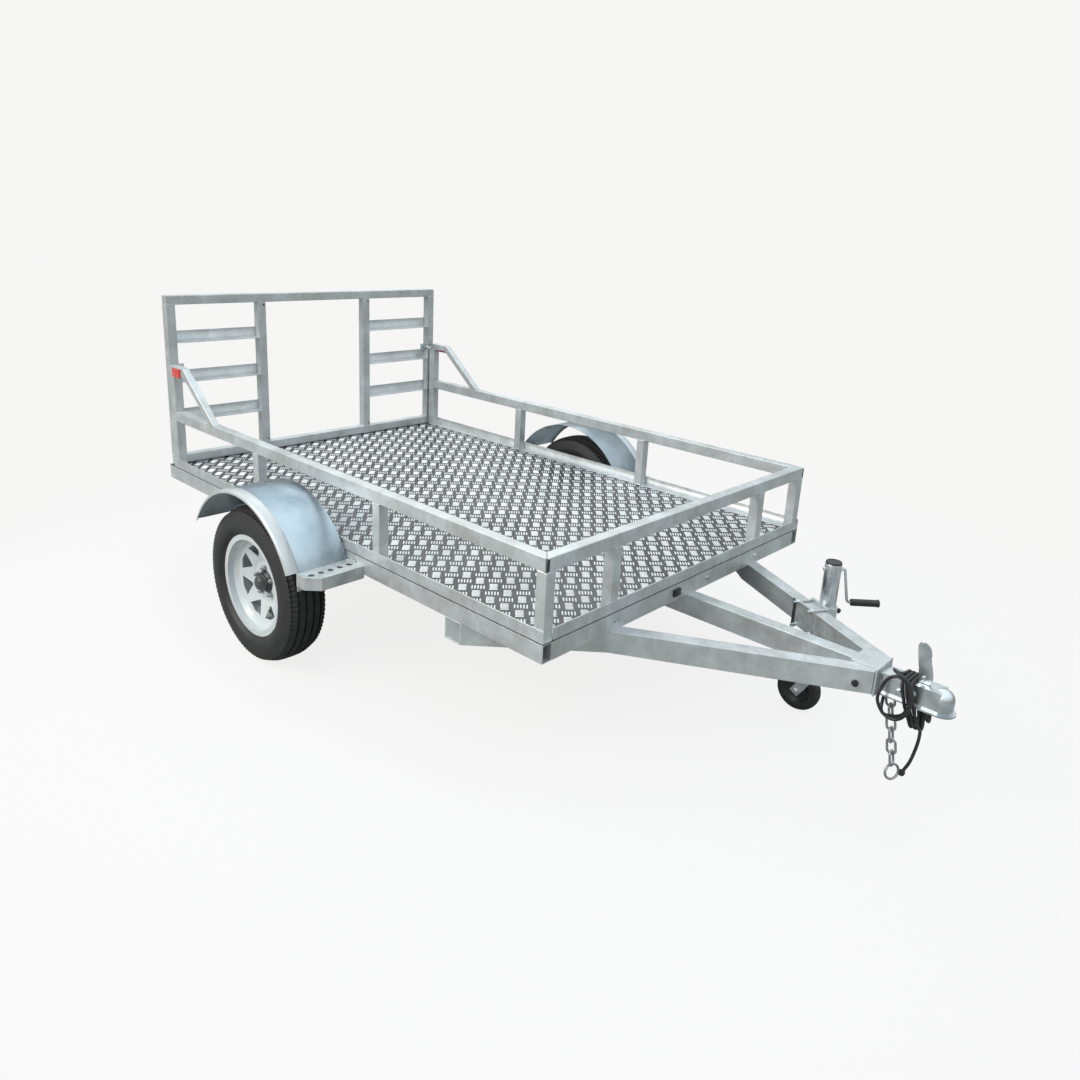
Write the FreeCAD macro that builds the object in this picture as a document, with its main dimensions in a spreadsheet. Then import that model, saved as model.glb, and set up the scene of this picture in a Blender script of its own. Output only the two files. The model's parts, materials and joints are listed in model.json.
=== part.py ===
import FreeCAD, Part
import math
import os
import re
import Sketcher
from FreeCAD import Placement, Rotation, Vector

# Single-axle flatbed utility trailer of galvanised steel, in millimetres.
# X runs forward to the coupling, Y to the trailer's left, Z up from the floor.
# The origin is on the floor, under the middle of the trailer's box.

doc = FreeCAD.newDocument("UtilityTrailer")
sheet = doc.addObject("Spreadsheet::Sheet", "Sizes")

SIZES = [
    # Bed
    ("bed_length", 2360, "chassis length, rear face to front face"),
    ("bed_width", 1540, "chassis width over the side rails"),
    ("chassis_floor", 425, "height of the chassis's underside"),
    ("rail_tall", 60, "chassis tube height"),
    ("rail_wide", 40, "chassis tube width"),
    ("rail_wall", 3, "chassis tube wall"),
    ("cross_tall", 40, "cross member tube height"),
    ("deck_thick", 3, "chequer plate thickness"),
    # Body frame on the deck
    ("angle_leg", 40, "leg of the angle along the deck's edge"),
    ("angle_thick", 4, "thickness of that angle"),
    ("post_size", 40, "square tube of the posts"),
    ("post_wall", 2.5, "wall of the posts and rails"),
    ("top_tall", 45, "top rail tube height"),
    ("top_wide", 40, "top rail tube width"),
    ("top_height", 750, "height of the top rail's upper face"),
    ("side_post_one", 770, "rear side post's middle from the chassis's rear face"),
    ("side_post_front", 795, "front side post's middle from the chassis's front face"),
    ("front_post_in", 330, "front posts' middle inside the chassis's side"),
    ("corner_gap", 7, "open slot at the top rail's corners"),
    # Rear posts with their braces
    ("brace_height", 955, "height of the brace's upper face"),
    ("brace_size", 30, "square tube of the braces"),
    ("brace_stub", 85, "length of the brace's level stub past its post"),
    ("brace_reach", 410, "brace's foot from the chassis's rear face"),
    # Tailgate
    ("gate_height", 1256, "height of the tailgate's upper face"),
    ("gate_tube", 40, "square tube of the tailgate"),
    ("gate_wall", 2.5, "wall of the tailgate's tube"),
    ("gate_inset", 12, "tailgate's side inside the chassis's side"),
    ("gate_lift", 8, "gap under the tailgate's bottom rail"),
    ("gate_clear", 6, "gap between the tailgate and the rear posts"),
    ("gate_inner_off", 300, "inner uprights' middle from the centre plane"),
    ("rung_leg", 50, "leg of the rung angles"),
    ("rung_thick", 4, "thickness of the rung angles"),
    ("rung_pitch", 178, "height from rung to rung"),
    ("rung_top", 1098, "height of the top rung's upper edge"),
    ("rung_back", 0, "rung's upright leg from the tailgate's rear face"),
    ("rung_count", 3, "rungs in each ladder"),
    ("hinge_radius", 11, "hinge barrel radius"),
    ("hinge_pin_radius", 6, "hinge pin radius"),
    ("hinge_back", 16, "hinge axis behind the chassis's rear face"),
    ("hinge_rise", 14, "hinge axis above the chassis's upper face"),
    ("hinge_in", 290, "hinges' middle inside the chassis's side"),
    ("knuckle_length", 40, "length of one hinge knuckle"),
    ("hinge_play", 0.1, "radial play of the hinge pin"),
    ("knuckle_gap", 0.5, "gap between hinge barrels"),
    ("hinge_tab", 40, "tab under a fixed hinge barrel"),
    ("latch_height", 922, "height of the latches"),
    ("latch_thick", 20, "latch housing's thickness"),
    ("latch_bolt", 6, "radius of the latch's bolt"),
    ("latch_reach", 42, "latch bolt past the tailgate's front face"),
    # Drawbar
    ("beam_tall", 75, "drawbar beam height"),
    ("beam_wide", 50, "drawbar beam width"),
    ("beam_wall", 4, "drawbar beam wall"),
    ("beam_tail_in", 360, "rear end of the side beams behind the chassis's front face"),
    ("beam_bend_in", 336, "side beam's middle inside the chassis's side under the front member"),
    ("beam_head_reach", 685, "front end of the side beams past the chassis's front face"),
    ("beam_head_off", 34, "side beam's middle off the centre plane at the head"),
    ("centre_beam_in", 460, "rear end of the centre beam behind the chassis's front face"),
    ("centre_beam_short", 45, "centre beam's front end behind the side beams'"),
    ("head_plate_length", 82, "length of the head's plates over the beams"),
    ("head_plate_thick", 6, "top plate of the drawbar's head"),
    ("tongue_size", 50, "square tongue that carries the coupling"),
    ("tongue_top", 410, "height of the tongue's upper face"),
    ("tongue_reach", 90, "tongue's length inside the coupling"),
    # Coupling
    ("ball_reach", 179, "coupling ball's centre past the side beams' front end"),
    ("ball_height", 388, "height of the coupling ball's centre"),
    ("socket_radius", 25.25, "radius of the ball socket"),
    ("coupling_wall", 6, "wall of the coupling's pressing"),
    ("coupling_lip", 8.75, "width of the coupling's bottom lip"),
    ("coupling_gap", 15, "coupling's rear end past the side beams' front end"),
    ("coupling_floor", 348, "height of the coupling's bottom lip"),
    ("coupling_play", 1, "side play between tongue and coupling"),
    ("lever_from_rear", 105, "lever's pivot from the coupling's rear end"),
    ("lever_height", 126, "height of the lever above its pivot"),
    ("lever_thick", 12, "lever thickness"),
    # Safety chain
    ("link_wire", 8, "chain wire thickness"),
    ("link_length", 55, "chain link length outside"),
    ("link_width", 34, "chain link width outside"),
    ("ring_radius", 24, "radius of the bottom ring's middle line"),
    ("chain_reach", 33, "chain's hole past the side beams' front end"),
    ("ring_turn", 60, "ring's plane from the trailer's heading, in degrees"),
    ("chain_lean", 10, "lean of the chain, which the cable holds forward, in degrees"),
    ("chain_slack", 1, "gap between chain links"),
    ("lug_thick", 6, "chain lug under the tongue"),
    ("chain_links", 6, "chain links"),
    # Electric cable coiled round the coupling's neck
    ("cable_size", 9, "cable diameter"),
    ("coil_turns", 4, "turns side by side round the neck"),
    ("coil_gap", 2, "gap between the coupling's lip and the coil"),
    ("coil_lean", 16, "lean of the coil, its bottom forward, in degrees"),
    ("coil_knee", 4, "level over the coupling's lip where the coil narrows"),
    ("coil_tip", 34, "radius of the coil's foot"),
    ("coil_drop", 83, "coil's lowest point under the coupling's lip"),
    ("coil_corner", 10, "inner corner radius at the coil's top"),
    ("coil_front", 56, "coil's middle at its top past the coupling's rear end"),
    ("loop_tall", 146, "height of the loose loop over the cable"),
    ("loop_wide", 104, "width of the loose loop over the cable"),
    ("loop_forward", 11, "loose loop's middle past the first turn's rear"),
    ("loop_out", 2, "loose loop's middle outside the turns' middle line"),
    ("loop_lean", 9, "lean of the loose loop, its bottom outward, in degrees"),
    ("boot_radius", 12, "radius of the boot on the cable"),
    ("boot_floor", 48, "boot's lower end under the coupling's lip"),
    ("boot_back", 44, "boot's middle behind the ball's centre"),
    ("boot_neck", 6, "radius of the boot's neck"),
    ("boot_neck_length", 30, "length of the boot's neck"),
    ("knot_radius", 11, "radius of the knot on the chain's ring"),
    ("knot_length", 22, "length of the knot"),
    # Wheels, hubs and axle
    ("axle_x", 1075, "axle from the chassis's rear face"),
    ("tyre_radius", 297, "tyre outer radius"),
    ("tyre_width", 165, "tyre section width"),
    ("tyre_flats", 60, "flats round a tyre"),
    ("tyre_widest", 62, "depth of the tyre's widest place under its tread"),
    ("tread_width", 128, "tread width"),
    ("rim_radius", 177.5, "bead seat radius"),
    ("flange_radius", 194.5, "rim flange radius"),
    ("rim_width", 130, "rim width over its flanges"),
    ("tyre_gap", 52.5, "gap between the chassis's side and the tyre"),
    ("axle_size", 45, "square axle beam"),
    ("hub_radius", 55, "hub radius"),
    ("rim_wall", 3, "rim wall"),
    ("rim_well", 40, "half width of the rim's well over its slopes"),
    ("well_radius", 160, "rim well radius"),
    ("disc_thick", 4, "wheel disc thickness"),
    ("disc_face", 2, "wheel disc's outer face from the tyre's middle plane"),
    ("disc_flat", 78, "radius of the wheel disc's flat middle"),
    ("disc_crown", 92, "radius of the wheel disc's crown"),
    ("centre_bore", 43, "wheel disc's centre hole radius"),
    ("window_count", 8, "windows in the wheel disc"),
    ("axle_inset", 22, "axle beam's end inside the tyre's inner face"),
    ("spindle_radius", 20, "axle spindle radius"),
    ("spindle_reach", 30, "spindle past the tyre's middle plane"),
    ("hub_play", 0.1, "radial play of the hub on its spindle"),
    ("hub_back", 74, "hub's inner end from the tyre's middle plane"),
    ("hub_neck", 38, "hub neck radius"),
    ("hub_nose", 12, "hub's nose past the disc"),
    ("hub_cap", 25, "grease cap radius"),
    ("cap_length", 26, "grease cap length"),
    # Suspension
    ("spring_half", 300, "spring eye from the axle"),
    ("spring_wide", 40, "leaf width"),
    ("leaf_thick", 7, "leaf thickness"),
    ("leaf_count", 4, "leaves in a spring"),
    ("leaf_shortest", 110, "half length of the shortest leaf"),
    ("spring_rise", 16, "rise of the main leaf toward its eyes"),
    ("eye_pin", 7, "spring eye pin radius"),
    ("ubolt_rod", 5, "U-bolt rod radius"),
    ("eye_radius", 17, "spring eye outer radius"),
    ("hanger_thick", 5, "spring hanger plate"),
    ("hanger_play", 0.5, "side gap between eye and hanger"),
    # Mudguards and steps
    ("guard_radius", 372, "mudguard outer radius"),
    ("guard_cover", 28.5, "mudguard past the tyre's outer face"),
    ("guard_thick", 2, "mudguard sheet"),
    ("guard_front_angle", 25.7, "mudguard front end above level"),
    ("guard_rear_angle", 150, "mudguard rear end from level ahead"),
    ("guard_lip", 14, "depth of the mudguard's outer lip"),
    ("guard_gap", 8, "gap between the chassis and the mudguard"),
    ("bracket_bar", 30, "mudguard bracket bar"),
    ("bracket_step_gap", 5, "front bracket behind the step"),
    ("step_height", 458, "height of the step's upper face"),
    ("step_depth", 92, "step's depth along the trailer"),
    ("step_width", 212, "step's width"),
    ("step_skirt", 46, "step's skirt height"),
    ("step_thick", 3, "step plate"),
    ("step_corner", 42, "chamfer of the step's outer corner"),
    ("step_hole", 11, "radius of the holes in the step"),
    ("step_holes", 5, "holes in the step"),
    # Jockey wheel
    ("jockey_back", 310, "jockey leg's middle behind the side beams' front end"),
    ("jockey_out", 5.5, "gap between the side beam and the jockey's outer tube"),
    ("jockey_tube_radius", 28.5, "outer tube radius"),
    ("jockey_tube_wall", 2.5, "outer tube wall"),
    ("jockey_tube_top", 577, "height of the outer tube's top"),
    ("jockey_tube_bottom", 345, "height of the outer tube's bottom"),
    ("jockey_cap_tall", 12, "cap on the outer tube"),
    ("slide_play", 0.1, "radial play of leg, stem and wheel pin"),
    ("leg_engaged", 75, "inner leg inside the outer tube"),
    ("fork_crown", 176, "height of the fork's crown"),
    ("swivel_gap", 0.3, "gap between crown and leg"),
    ("fork_stem", 10, "castor stem radius"),
    ("stem_length", 12, "castor stem inside the leg"),
    ("jockey_pin", 7, "jockey wheel pin radius"),
    ("wheel_side_gap", 3, "gap between jockey wheel and fork"),
    ("jockey_tyre_edge", 9, "bevel of the jockey tyre"),
    ("clamp_plate", 8, "clamp plate thickness"),
    ("clamp_length", 96, "clamp length along the beam"),
    ("clamp_tall", 50, "clamp collar height"),
    ("crank_turn", 42, "handle's heading from the trailer's heading"),
    ("crank_drop", 124, "crank's pivot over its grip"),
    ("crank_rod", 10, "crank rod thickness"),
    ("crank_pivot_under", 12, "crank's pivot under the outer tube's top"),
    ("crank_pivot_out", 13, "crank arm's upper end past the outer tube"),
    ("crank_reach", 66, "crank arm's lower end from the tube's middle"),
    ("grip_radius", 14, "grip radius"),
    ("grip_length", 105, "grip length"),
    ("jockey_wheel_radius", 80, "jockey tyre radius"),
    ("jockey_wheel_width", 44, "jockey tyre width"),
    ("jockey_wheel_flats", 40, "flats round the jockey tyre"),
    ("jockey_trail", 58, "wheel axle behind the leg"),
    ("fork_thick", 4, "fork plate"),
    # Lamps and plate
    ("lamp_width", 150, "tail lamp width"),
    ("lamp_tall", 80, "tail lamp height"),
    ("lamp_deep", 34, "tail lamp depth"),
    ("lamp_in", 60, "lamp's outer end from the chassis's side"),
    ("lamp_drop", 10, "lamp's top under the chassis's top"),
    ("plate_thick", 3, "blank plate thickness"),
    ("reflector_size", 40, "side reflector's height"),
    ("reflector_long", 72, "side reflector's length"),
    ("reflector_thick", 6, "side reflector thickness"),
    ("reflector_in", 38, "side reflector from the rear post's rear face"),
    ("plate_width", 300, "blank number plate width"),
    ("plate_tall", 90, "blank number plate height"),
]

for row, (alias, value, note) in enumerate(SIZES, 1):
    sheet.set(f"A{row}", note)
    sheet.set(f"B{row}", str(value))
    sheet.setAlias(f"B{row}", alias)
doc.recompute()

ALIASES = {alias for alias, value, note in SIZES}
NODES = []


def formula(text):
    """The sheet's aliases in text, written the way expressions name them."""
    def named(word):
        return f"Sizes.{word[0]}" if word[0] in ALIASES else word[0]

    return re.sub(r"[a-z]\w*", named, str(text))


def value_of(text):
    """The number that a formula of aliases gives."""
    return float(sheet.evalExpression(formula(text)))


def place_x(text):
    """The x of a place that a formula counts from the chassis's rear face."""
    return value_of(f"{REAR_X} + ({text})")


def bind(thing, **texts):
    for field, text in texts.items():
        thing.setExpression(field, formula(text))


def put(thing, x="0", y="0", z="0"):
    """Place a piece by formulas; x counts from the chassis's rear face."""
    thing.setExpression("Placement.Base.x", formula(f"{REAR_X} + ({x})"))
    thing.setExpression("Placement.Base.y", formula(y))
    thing.setExpression("Placement.Base.z", formula(z))
    return thing


def node(thing, label):
    thing.Label = label
    NODES.append(thing)
    return thing


def block(name, size, corner):
    box = doc.addObject("Part::Box", name)
    bind(box, Length=size[0], Width=size[1], Height=size[2])
    return put(box, *corner)


def round_bar(name, radius, length, start, axis="z"):
    """A cylinder from start along one axis."""
    bar = doc.addObject("Part::Cylinder", name)
    bind(bar, Radius=radius, Height=length)
    turns = {"x": Rotation(Vector(0, 1, 0), 90), "y": Rotation(Vector(1, 0, 0), -90), "z": Rotation()}
    bar.Placement = Placement(Vector(), turns[axis])
    return put(bar, *start)


def cut(name, base, tool):
    piece = doc.addObject("Part::Cut", name)
    piece.Base = base
    piece.Tool = tool
    return piece


def fuse(name, *pieces):
    joined = doc.addObject("Part::MultiFuse", name)
    joined.Shapes = list(pieces)
    return joined


def group(name, *pieces):
    """Like pieces that don't touch, in one shape."""
    gathered = doc.addObject("Part::Compound", name)
    gathered.Links = list(pieces)
    return gathered


def mirrored(name, source):
    """The same piece on the trailer's other side."""
    copy = doc.addObject("Part::Mirroring", name)
    copy.Source = source
    copy.Base = Vector(0, 0, 0)
    copy.Normal = Vector(0, 1, 0)
    return copy


def tube(name, size, corner, wall, along="x", capped=False):
    """A rectangular tube, open at both ends or closed all round."""
    outer = block(f"{name}_outer", size, corner)
    lengths = []
    starts = []
    for axis, length, start in zip("xyz", size, corner):
        open_end = axis == along and not capped
        lengths.append(f"({length}) + 2" if open_end else f"({length}) - 2 * {wall}")
        starts.append(f"({start}) - 1" if open_end else f"({start}) + {wall}")
    inner = block(f"{name}_inner", lengths, starts)
    return cut(name, outer, inner)


def shape_piece(name, shape):
    piece = doc.addObject("Part::Feature", name)
    piece.Shape = shape
    return piece


def origin_plane(body, role):
    return next(part for part in body.Origin.OriginFeatures if part.Role == role)


def outline(body, name, role, corners):
    """A closed sketch whose corners are held by formulas."""
    sketch = body.newObject("Sketcher::SketchObject", name)
    sketch.AttachmentSupport = [(origin_plane(body, role), "")]
    sketch.MapMode = "FlatFace"
    points = [Vector(value_of(across), value_of(up), 0) for across, up in corners]
    count = len(points)
    for index in range(count):
        sketch.addGeometry(Part.LineSegment(points[index], points[(index + 1) % count]), False)
    for index in range(count):
        sketch.addConstraint(Sketcher.Constraint("Coincident", index, 2, (index + 1) % count, 1))
    for index, (across, up) in enumerate(corners):
        for kind, number, text in (("DistanceX", points[index].x, across), ("DistanceY", points[index].y, up)):
            held = sketch.addConstraint(Sketcher.Constraint(kind, -1, 1, index, 1, number))
            sketch.setExpression(f"Constraints[{held}]", formula(text))
    return sketch


def padded(name, role, corners, length, centred=False):
    """A body with one outline padded to a length."""
    body = doc.addObject("PartDesign::Body", name)
    sketch = outline(body, f"{name}_outline", role, corners)
    pad = body.newObject("PartDesign::Pad", f"{name}_pad")
    pad.Profile = sketch
    bind(pad, Length=length)
    pad.Midplane = centred
    return body


def turned(name, corners):
    """A body turned about the Y axis from an outline of (y, radius) corners."""
    body = doc.addObject("PartDesign::Body", name)
    sketch = outline(body, f"{name}_outline", "YZ_Plane", corners)
    turn = body.newObject("PartDesign::Revolution", f"{name}_turn")
    turn.Profile = sketch
    turn.ReferenceAxis = (sketch, ["H_Axis"])
    turn.Angle = 360
    return body


def ribbon(points, width):
    """The mitred outline of a strip of one width along flat points."""
    sides = []
    for sign in (1, -1):
        side = []
        for index, point in enumerate(points):
            before = points[max(index - 1, 0)]
            after = points[min(index + 1, len(points) - 1)]
            into = (point - before) if index else (after - point)
            out = (after - point) if index < len(points) - 1 else into
            normal_in = Vector(-into.y, into.x, 0).normalize()
            normal_out = Vector(-out.y, out.x, 0).normalize()
            mitre = (normal_in + normal_out).normalize()
            side.append(point + mitre * (sign * width / 2 / mitre.dot(normal_in)))
        sides.append(side)
    return sides[0] + sides[1][::-1]


def prism(corners, height, base=0.0):
    """A flat outline of corners raised along Z from a base height."""
    raised = [Vector(corner.x, corner.y, base) for corner in corners]
    face = Part.Face(Part.makePolygon(raised + raised[:1]))
    return face.extrude(Vector(0, 0, height))


def upright_prism(corners, width, side):
    """An outline of (x, z) corners made width wide, starting at y = side."""
    raised = [Vector(corner.x, side, corner.y) for corner in corners]
    face = Part.Face(Part.makePolygon(raised + raised[:1]))
    return face.extrude(Vector(0, width, 0))


def other_side(shape):
    return shape.mirror(Vector(0, 0, 0), Vector(0, 1, 0))


HALF = "(bed_width / 2)"
FRONT = "(bed_length + beam_head_reach)"
BALL_X = f"({FRONT} + ball_reach)"
REAR_X = f"((lamp_deep - {BALL_X} - socket_radius - coupling_wall - 2 - coupling_lip) / 2)"
TRACK_HALF = f"({HALF} + tyre_gap + tyre_width / 2)"
GUARD_WIDTH = "(tyre_gap + tyre_width + guard_cover - guard_gap)"
BEND_X = "(bed_length - rail_wide / 2)"
BEND_OFF = f"({HALF} - beam_bend_in)"
FRONT_POST_OFF = f"({HALF} - front_post_in)"
CHAIN_X = f"({FRONT} + chain_reach)"
CHASSIS_TOP = "(chassis_floor + rail_tall)"
DECK_TOP = "(chassis_floor + rail_tall + deck_thick)"
FRAME_SIDE = "(bed_width / 2 - angle_thick)"
FRAME_FRONT = "(bed_length - angle_thick)"
FRAME_REAR = "(gate_tube + gate_clear)"
RAIL_UNDER = "(top_height - top_tall)"
CROSS_COUNT = 4
CHAIN_HOLE = "(link_wire * 0.8)"
CHAIN_TOP = "(tongue_top - tongue_size - link_wire * 1.8)"


# The cable's end from the boot down to the chain's ring: x from the chassis's rear face, y, z.
TAIL = [(3182, 0, 246), (3179, 0, 211), (3173, 1, 175), (3167, 2, 148), (3158, 5, 125), (3152, 11, 110),
        (3148, 18, 100)]


def place_vector(x, y, z):
    return Vector(place_x(x), y, z)


def make_chassis():
    rail = tube("side_rail", ("bed_length - rail_wide", "rail_wide", "rail_tall"),
                ("rail_wide", f"-{HALF}", "chassis_floor"), "rail_wall")
    node(group("side_rails", rail, mirrored("side_rail_left", rail)), "chassis_side_rails")

    rear = tube("rear_member", ("rail_wide", "bed_width", "rail_tall"), ("0", f"-{HALF}", "chassis_floor"),
                "rail_wall", "y", capped=True)
    front = tube("front_member", ("rail_wide", "bed_width - 2 * rail_wide", "rail_tall"),
                 ("bed_length - rail_wide", f"-{HALF} + rail_wide", "chassis_floor"), "rail_wall", "y")
    members = [rear, front]
    for number in range(1, CROSS_COUNT + 1):
        place = f"bed_length * {number} / {CROSS_COUNT + 1} - cross_tall / 2"
        members.append(tube(f"cross_member_{number}", ("cross_tall", "bed_width - 2 * rail_wide", "cross_tall"),
                            (place, f"-{HALF} + rail_wide", f"{CHASSIS_TOP} - cross_tall"), "rail_wall", "y"))
    node(group("cross_members", *members), "chassis_cross_members")
    node(block("deck", ("bed_length", "bed_width", "deck_thick"), ("0", f"-{HALF}", CHASSIS_TOP)), "deck_plate")


def make_edge_angles():
    """Angle irons along the deck's sides and front, upright leg outside."""
    foot = DECK_TOP
    side = padded("side_angle", "YZ_Plane",
                  [(f"-{HALF}", foot), (f"-{HALF} + angle_leg", foot),
                   (f"-{HALF} + angle_leg", f"{foot} + angle_thick"),
                   (f"-{FRAME_SIDE}", f"{foot} + angle_thick"), (f"-{FRAME_SIDE}", f"{foot} + angle_leg"),
                   (f"-{HALF}", f"{foot} + angle_leg")],
                  f"bed_length - {FRAME_REAR}")
    put(side, FRAME_REAR)
    front = padded("front_angle", "XZ_Plane",
                   [("0", foot), ("0", f"{foot} + angle_leg"), ("-angle_thick", f"{foot} + angle_leg"),
                    ("-angle_thick", f"{foot} + angle_thick"), ("-angle_leg", f"{foot} + angle_thick"),
                    ("-angle_leg", foot)],
                   f"2 * ({FRAME_SIDE} - post_size)", centred=True)
    put(front, "bed_length")
    node(group("angles", side, mirrored("side_angle_left", side), front), "edge_angles")


def make_top_rails():
    """Square tube rails, mitred at the front with an open slot in the outer corner."""
    side = FRAME_SIDE
    front = FRAME_FRONT
    inset = "post_wall"
    outer = padded("top_side", "XY_Plane",
                   [(FRAME_REAR, f"-{side}"), (f"{front} - corner_gap", f"-{side}"),
                    (f"{front} - corner_gap", f"-{side} + corner_gap"),
                    (f"{front} - top_wide", f"-{side} + top_wide"), (FRAME_REAR, f"-{side} + top_wide")],
                   "top_tall")
    inner = padded("top_side_inner", "XY_Plane",
                   [(f"{FRAME_REAR} + {inset}", f"-{side} + {inset}"),
                    (f"{front} - corner_gap - {inset}", f"-{side} + {inset}"),
                    (f"{front} - corner_gap - {inset}", f"-{side} + corner_gap + {inset}"),
                    (f"{front} - top_wide - {inset}", f"-{side} + top_wide - {inset}"),
                    (f"{FRAME_REAR} + {inset}", f"-{side} + top_wide - {inset}")],
                   f"top_tall - 2 * {inset}")
    put(outer, z=RAIL_UNDER)
    put(inner, z=f"{RAIL_UNDER} + {inset}")
    right = cut("top_right", outer, inner)
    node(group("top_sides", right, mirrored("top_left", right)), "top_rail_sides")
    outer = padded("top_front", "XY_Plane",
                   [(front, f"-{side} + corner_gap"), (front, f"{side} - corner_gap"),
                    (f"{front} - corner_gap", f"{side} - corner_gap"),
                    (f"{front} - top_wide", f"{side} - top_wide"),
                    (f"{front} - top_wide", f"-{side} + top_wide"),
                    (f"{front} - corner_gap", f"-{side} + corner_gap")],
                   "top_tall")
    inner_size = (f"top_wide - 2 * {inset}", f"2 * ({side} - top_wide)", f"top_tall - 2 * {inset}")
    inner = block("top_front_inner", inner_size,
                  (f"{front} - top_wide + {inset}", f"-{side} + top_wide", f"{RAIL_UNDER} + {inset}"))
    put(outer, z=RAIL_UNDER)
    node(cut("top_front_rail", outer, inner), "top_rail_front")


def post(name, x, y, top=RAIL_UNDER):
    """A square tube post on the angle's flat leg, from its rear right corner."""
    foot = f"{DECK_TOP} + angle_thick"
    return tube(name, ("post_size", "post_size", f"{top} - ({foot})"), (x, y, foot),
                "post_wall", "z", capped=True)


def make_posts():
    right = f"-{FRAME_SIDE}"
    side_posts = [
        post("rear_post", FRAME_REAR, right),
        post("side_post_1", "side_post_one - post_size / 2", right),
        post("side_post_2", "bed_length - side_post_front - post_size / 2", right),
        post("corner_post", f"{FRAME_FRONT} - post_size", right),
    ]
    side_posts += [mirrored(f"{one.Name}_left", one) for one in side_posts]
    front = post("front_post", f"{FRAME_FRONT} - post_size", f"-{FRONT_POST_OFF} - post_size / 2")
    node(group("all_posts", front, mirrored("front_post_left", front), *side_posts), "posts")


def make_braces():
    """Upper rear posts with a level stub and a strut down to the top rail."""
    size = value_of("brace_size")
    top = value_of("brace_height")
    rail_top = value_of("top_height")
    post_size = value_of("post_size")
    rear = place_x(FRAME_REAR)
    side = value_of(FRAME_SIDE)
    stub_end = rear + post_size + value_of("brace_stub")
    foot = place_x("brace_reach")
    slope = (top - size / 2 - rail_top) / (foot - stub_end)
    path = [Vector(rear, top - size / 2, 0), Vector(stub_end, top - size / 2, 0),
            Vector(foot + size, rail_top - slope * size, 0)]
    strut = upright_prism(ribbon(path, size), size, -side)
    below = Part.makeBox(2 * foot - 2 * rear, size, 4 * size, Vector(rear - size, -side, rail_top - 4 * size))
    upper_post = Part.makeBox(post_size, post_size, top - size - rail_top, Vector(rear, -side, rail_top))
    brace = strut.cut(below).fuse(upper_post).removeSplitter()
    node(shape_piece("braces", Part.makeCompound([brace, other_side(brace)])), "rear_braces")


def make_drawbar():
    tall = value_of("beam_tall")
    wide = value_of("beam_wide")
    wall = value_of("beam_wall")
    floor = value_of("chassis_floor")
    half = value_of(HALF)
    bend = Vector(place_x(BEND_X), -value_of(BEND_OFF), 0)
    head = Vector(place_x(FRONT), -value_of("beam_head_off"), 0)
    tail = Vector(place_x("bed_length - beam_tail_in"), -half + wide / 2, 0)
    beyond = tail + (tail - bend).normalize() * 2 * wide
    past_head = head + (head - bend).normalize() * wide
    beam = prism(ribbon([beyond, bend, past_head], wide), tall, floor - tall)
    bore = prism(ribbon([beyond, bend, past_head], wide - 2 * wall), tall - 2 * wall, floor - tall + wall)
    room = Part.makeBox(head.x - beyond.x + wide, half, tall, Vector(beyond.x - wide, -half, floor - tall))
    beam = beam.cut(bore).common(room)
    sides = shape_piece("side_beams", Part.makeCompound([beam, other_side(beam)]))
    centre_length = "centre_beam_in + beam_head_reach - centre_beam_short"
    centre = tube("centre_beam", (centre_length, "beam_wide", "beam_tall"),
                  ("bed_length - centre_beam_in", "-beam_wide / 2", "chassis_floor - beam_tall"), "beam_wall")
    node(group("beams", sides, centre), "drawbar_beams")

    thick = "head_plate_thick"
    plate_size = ("head_plate_length", "2 * beam_head_off + beam_wide / 2", thick)
    plate_rear = f"{FRONT} - head_plate_length"
    plate_side = "-beam_head_off - beam_wide / 4"
    top = block("head_top", plate_size, (plate_rear, plate_side, "chassis_floor"))
    bottom = block("head_bottom", plate_size, (plate_rear, plate_side, f"chassis_floor - beam_tall - {thick}"))
    end = block("head_end", (thick, "2 * beam_head_off + beam_wide", f"beam_tall + 2 * {thick}"),
                (FRONT, "-beam_head_off - beam_wide / 2", f"chassis_floor - beam_tall - {thick}"))
    tongue = block("tongue", ("coupling_gap + tongue_reach", "tongue_size", "tongue_size"),
                   (FRONT, "-tongue_size / 2", "tongue_top - tongue_size"))
    lug_hole = round_bar("chain_hole", CHAIN_HOLE, "2 * lug_thick", (CHAIN_X, "-lug_thick", CHAIN_TOP), "y")
    lug_tall = f"tongue_top - tongue_size - {CHAIN_TOP} + 2 * {CHAIN_HOLE}"
    lug = block("chain_lug", (f"4 * {CHAIN_HOLE}", "lug_thick", lug_tall),
                (f"{CHAIN_X} - 2 * {CHAIN_HOLE}", "-lug_thick / 2", f"{CHAIN_TOP} - 2 * {CHAIN_HOLE}"))
    node(fuse("head", top, bottom, end, tongue, cut("lug_drilled", lug, lug_hole)), "drawbar_head")


def domed(centre, radius, floor, lip, wall):
    """A round-topped plug about centre, straight below it, with a lip at its floor."""
    steps = [(radius, floor)]
    if lip:
        steps = [(radius, floor + wall), (radius + lip, floor + wall), (radius + lip, floor)]
    corners = [Vector(radius, 0, 0)]
    edges = [Part.Arc(Vector(0, 0, radius), Vector(radius * 0.6, 0, radius * 0.8), corners[0]).toShape()]
    corners += [Vector(out, 0, level - centre.z) for out, level in steps]
    corners += [Vector(0, 0, floor - centre.z), Vector(0, 0, radius)]
    edges += [Part.makeLine(*pair) for pair in zip(corners, corners[1:])]
    plug = Part.Face(Part.Wire(edges)).revolve(Vector(), Vector(0, 0, 1), 360)
    plug.translate(centre)
    return plug


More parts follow.
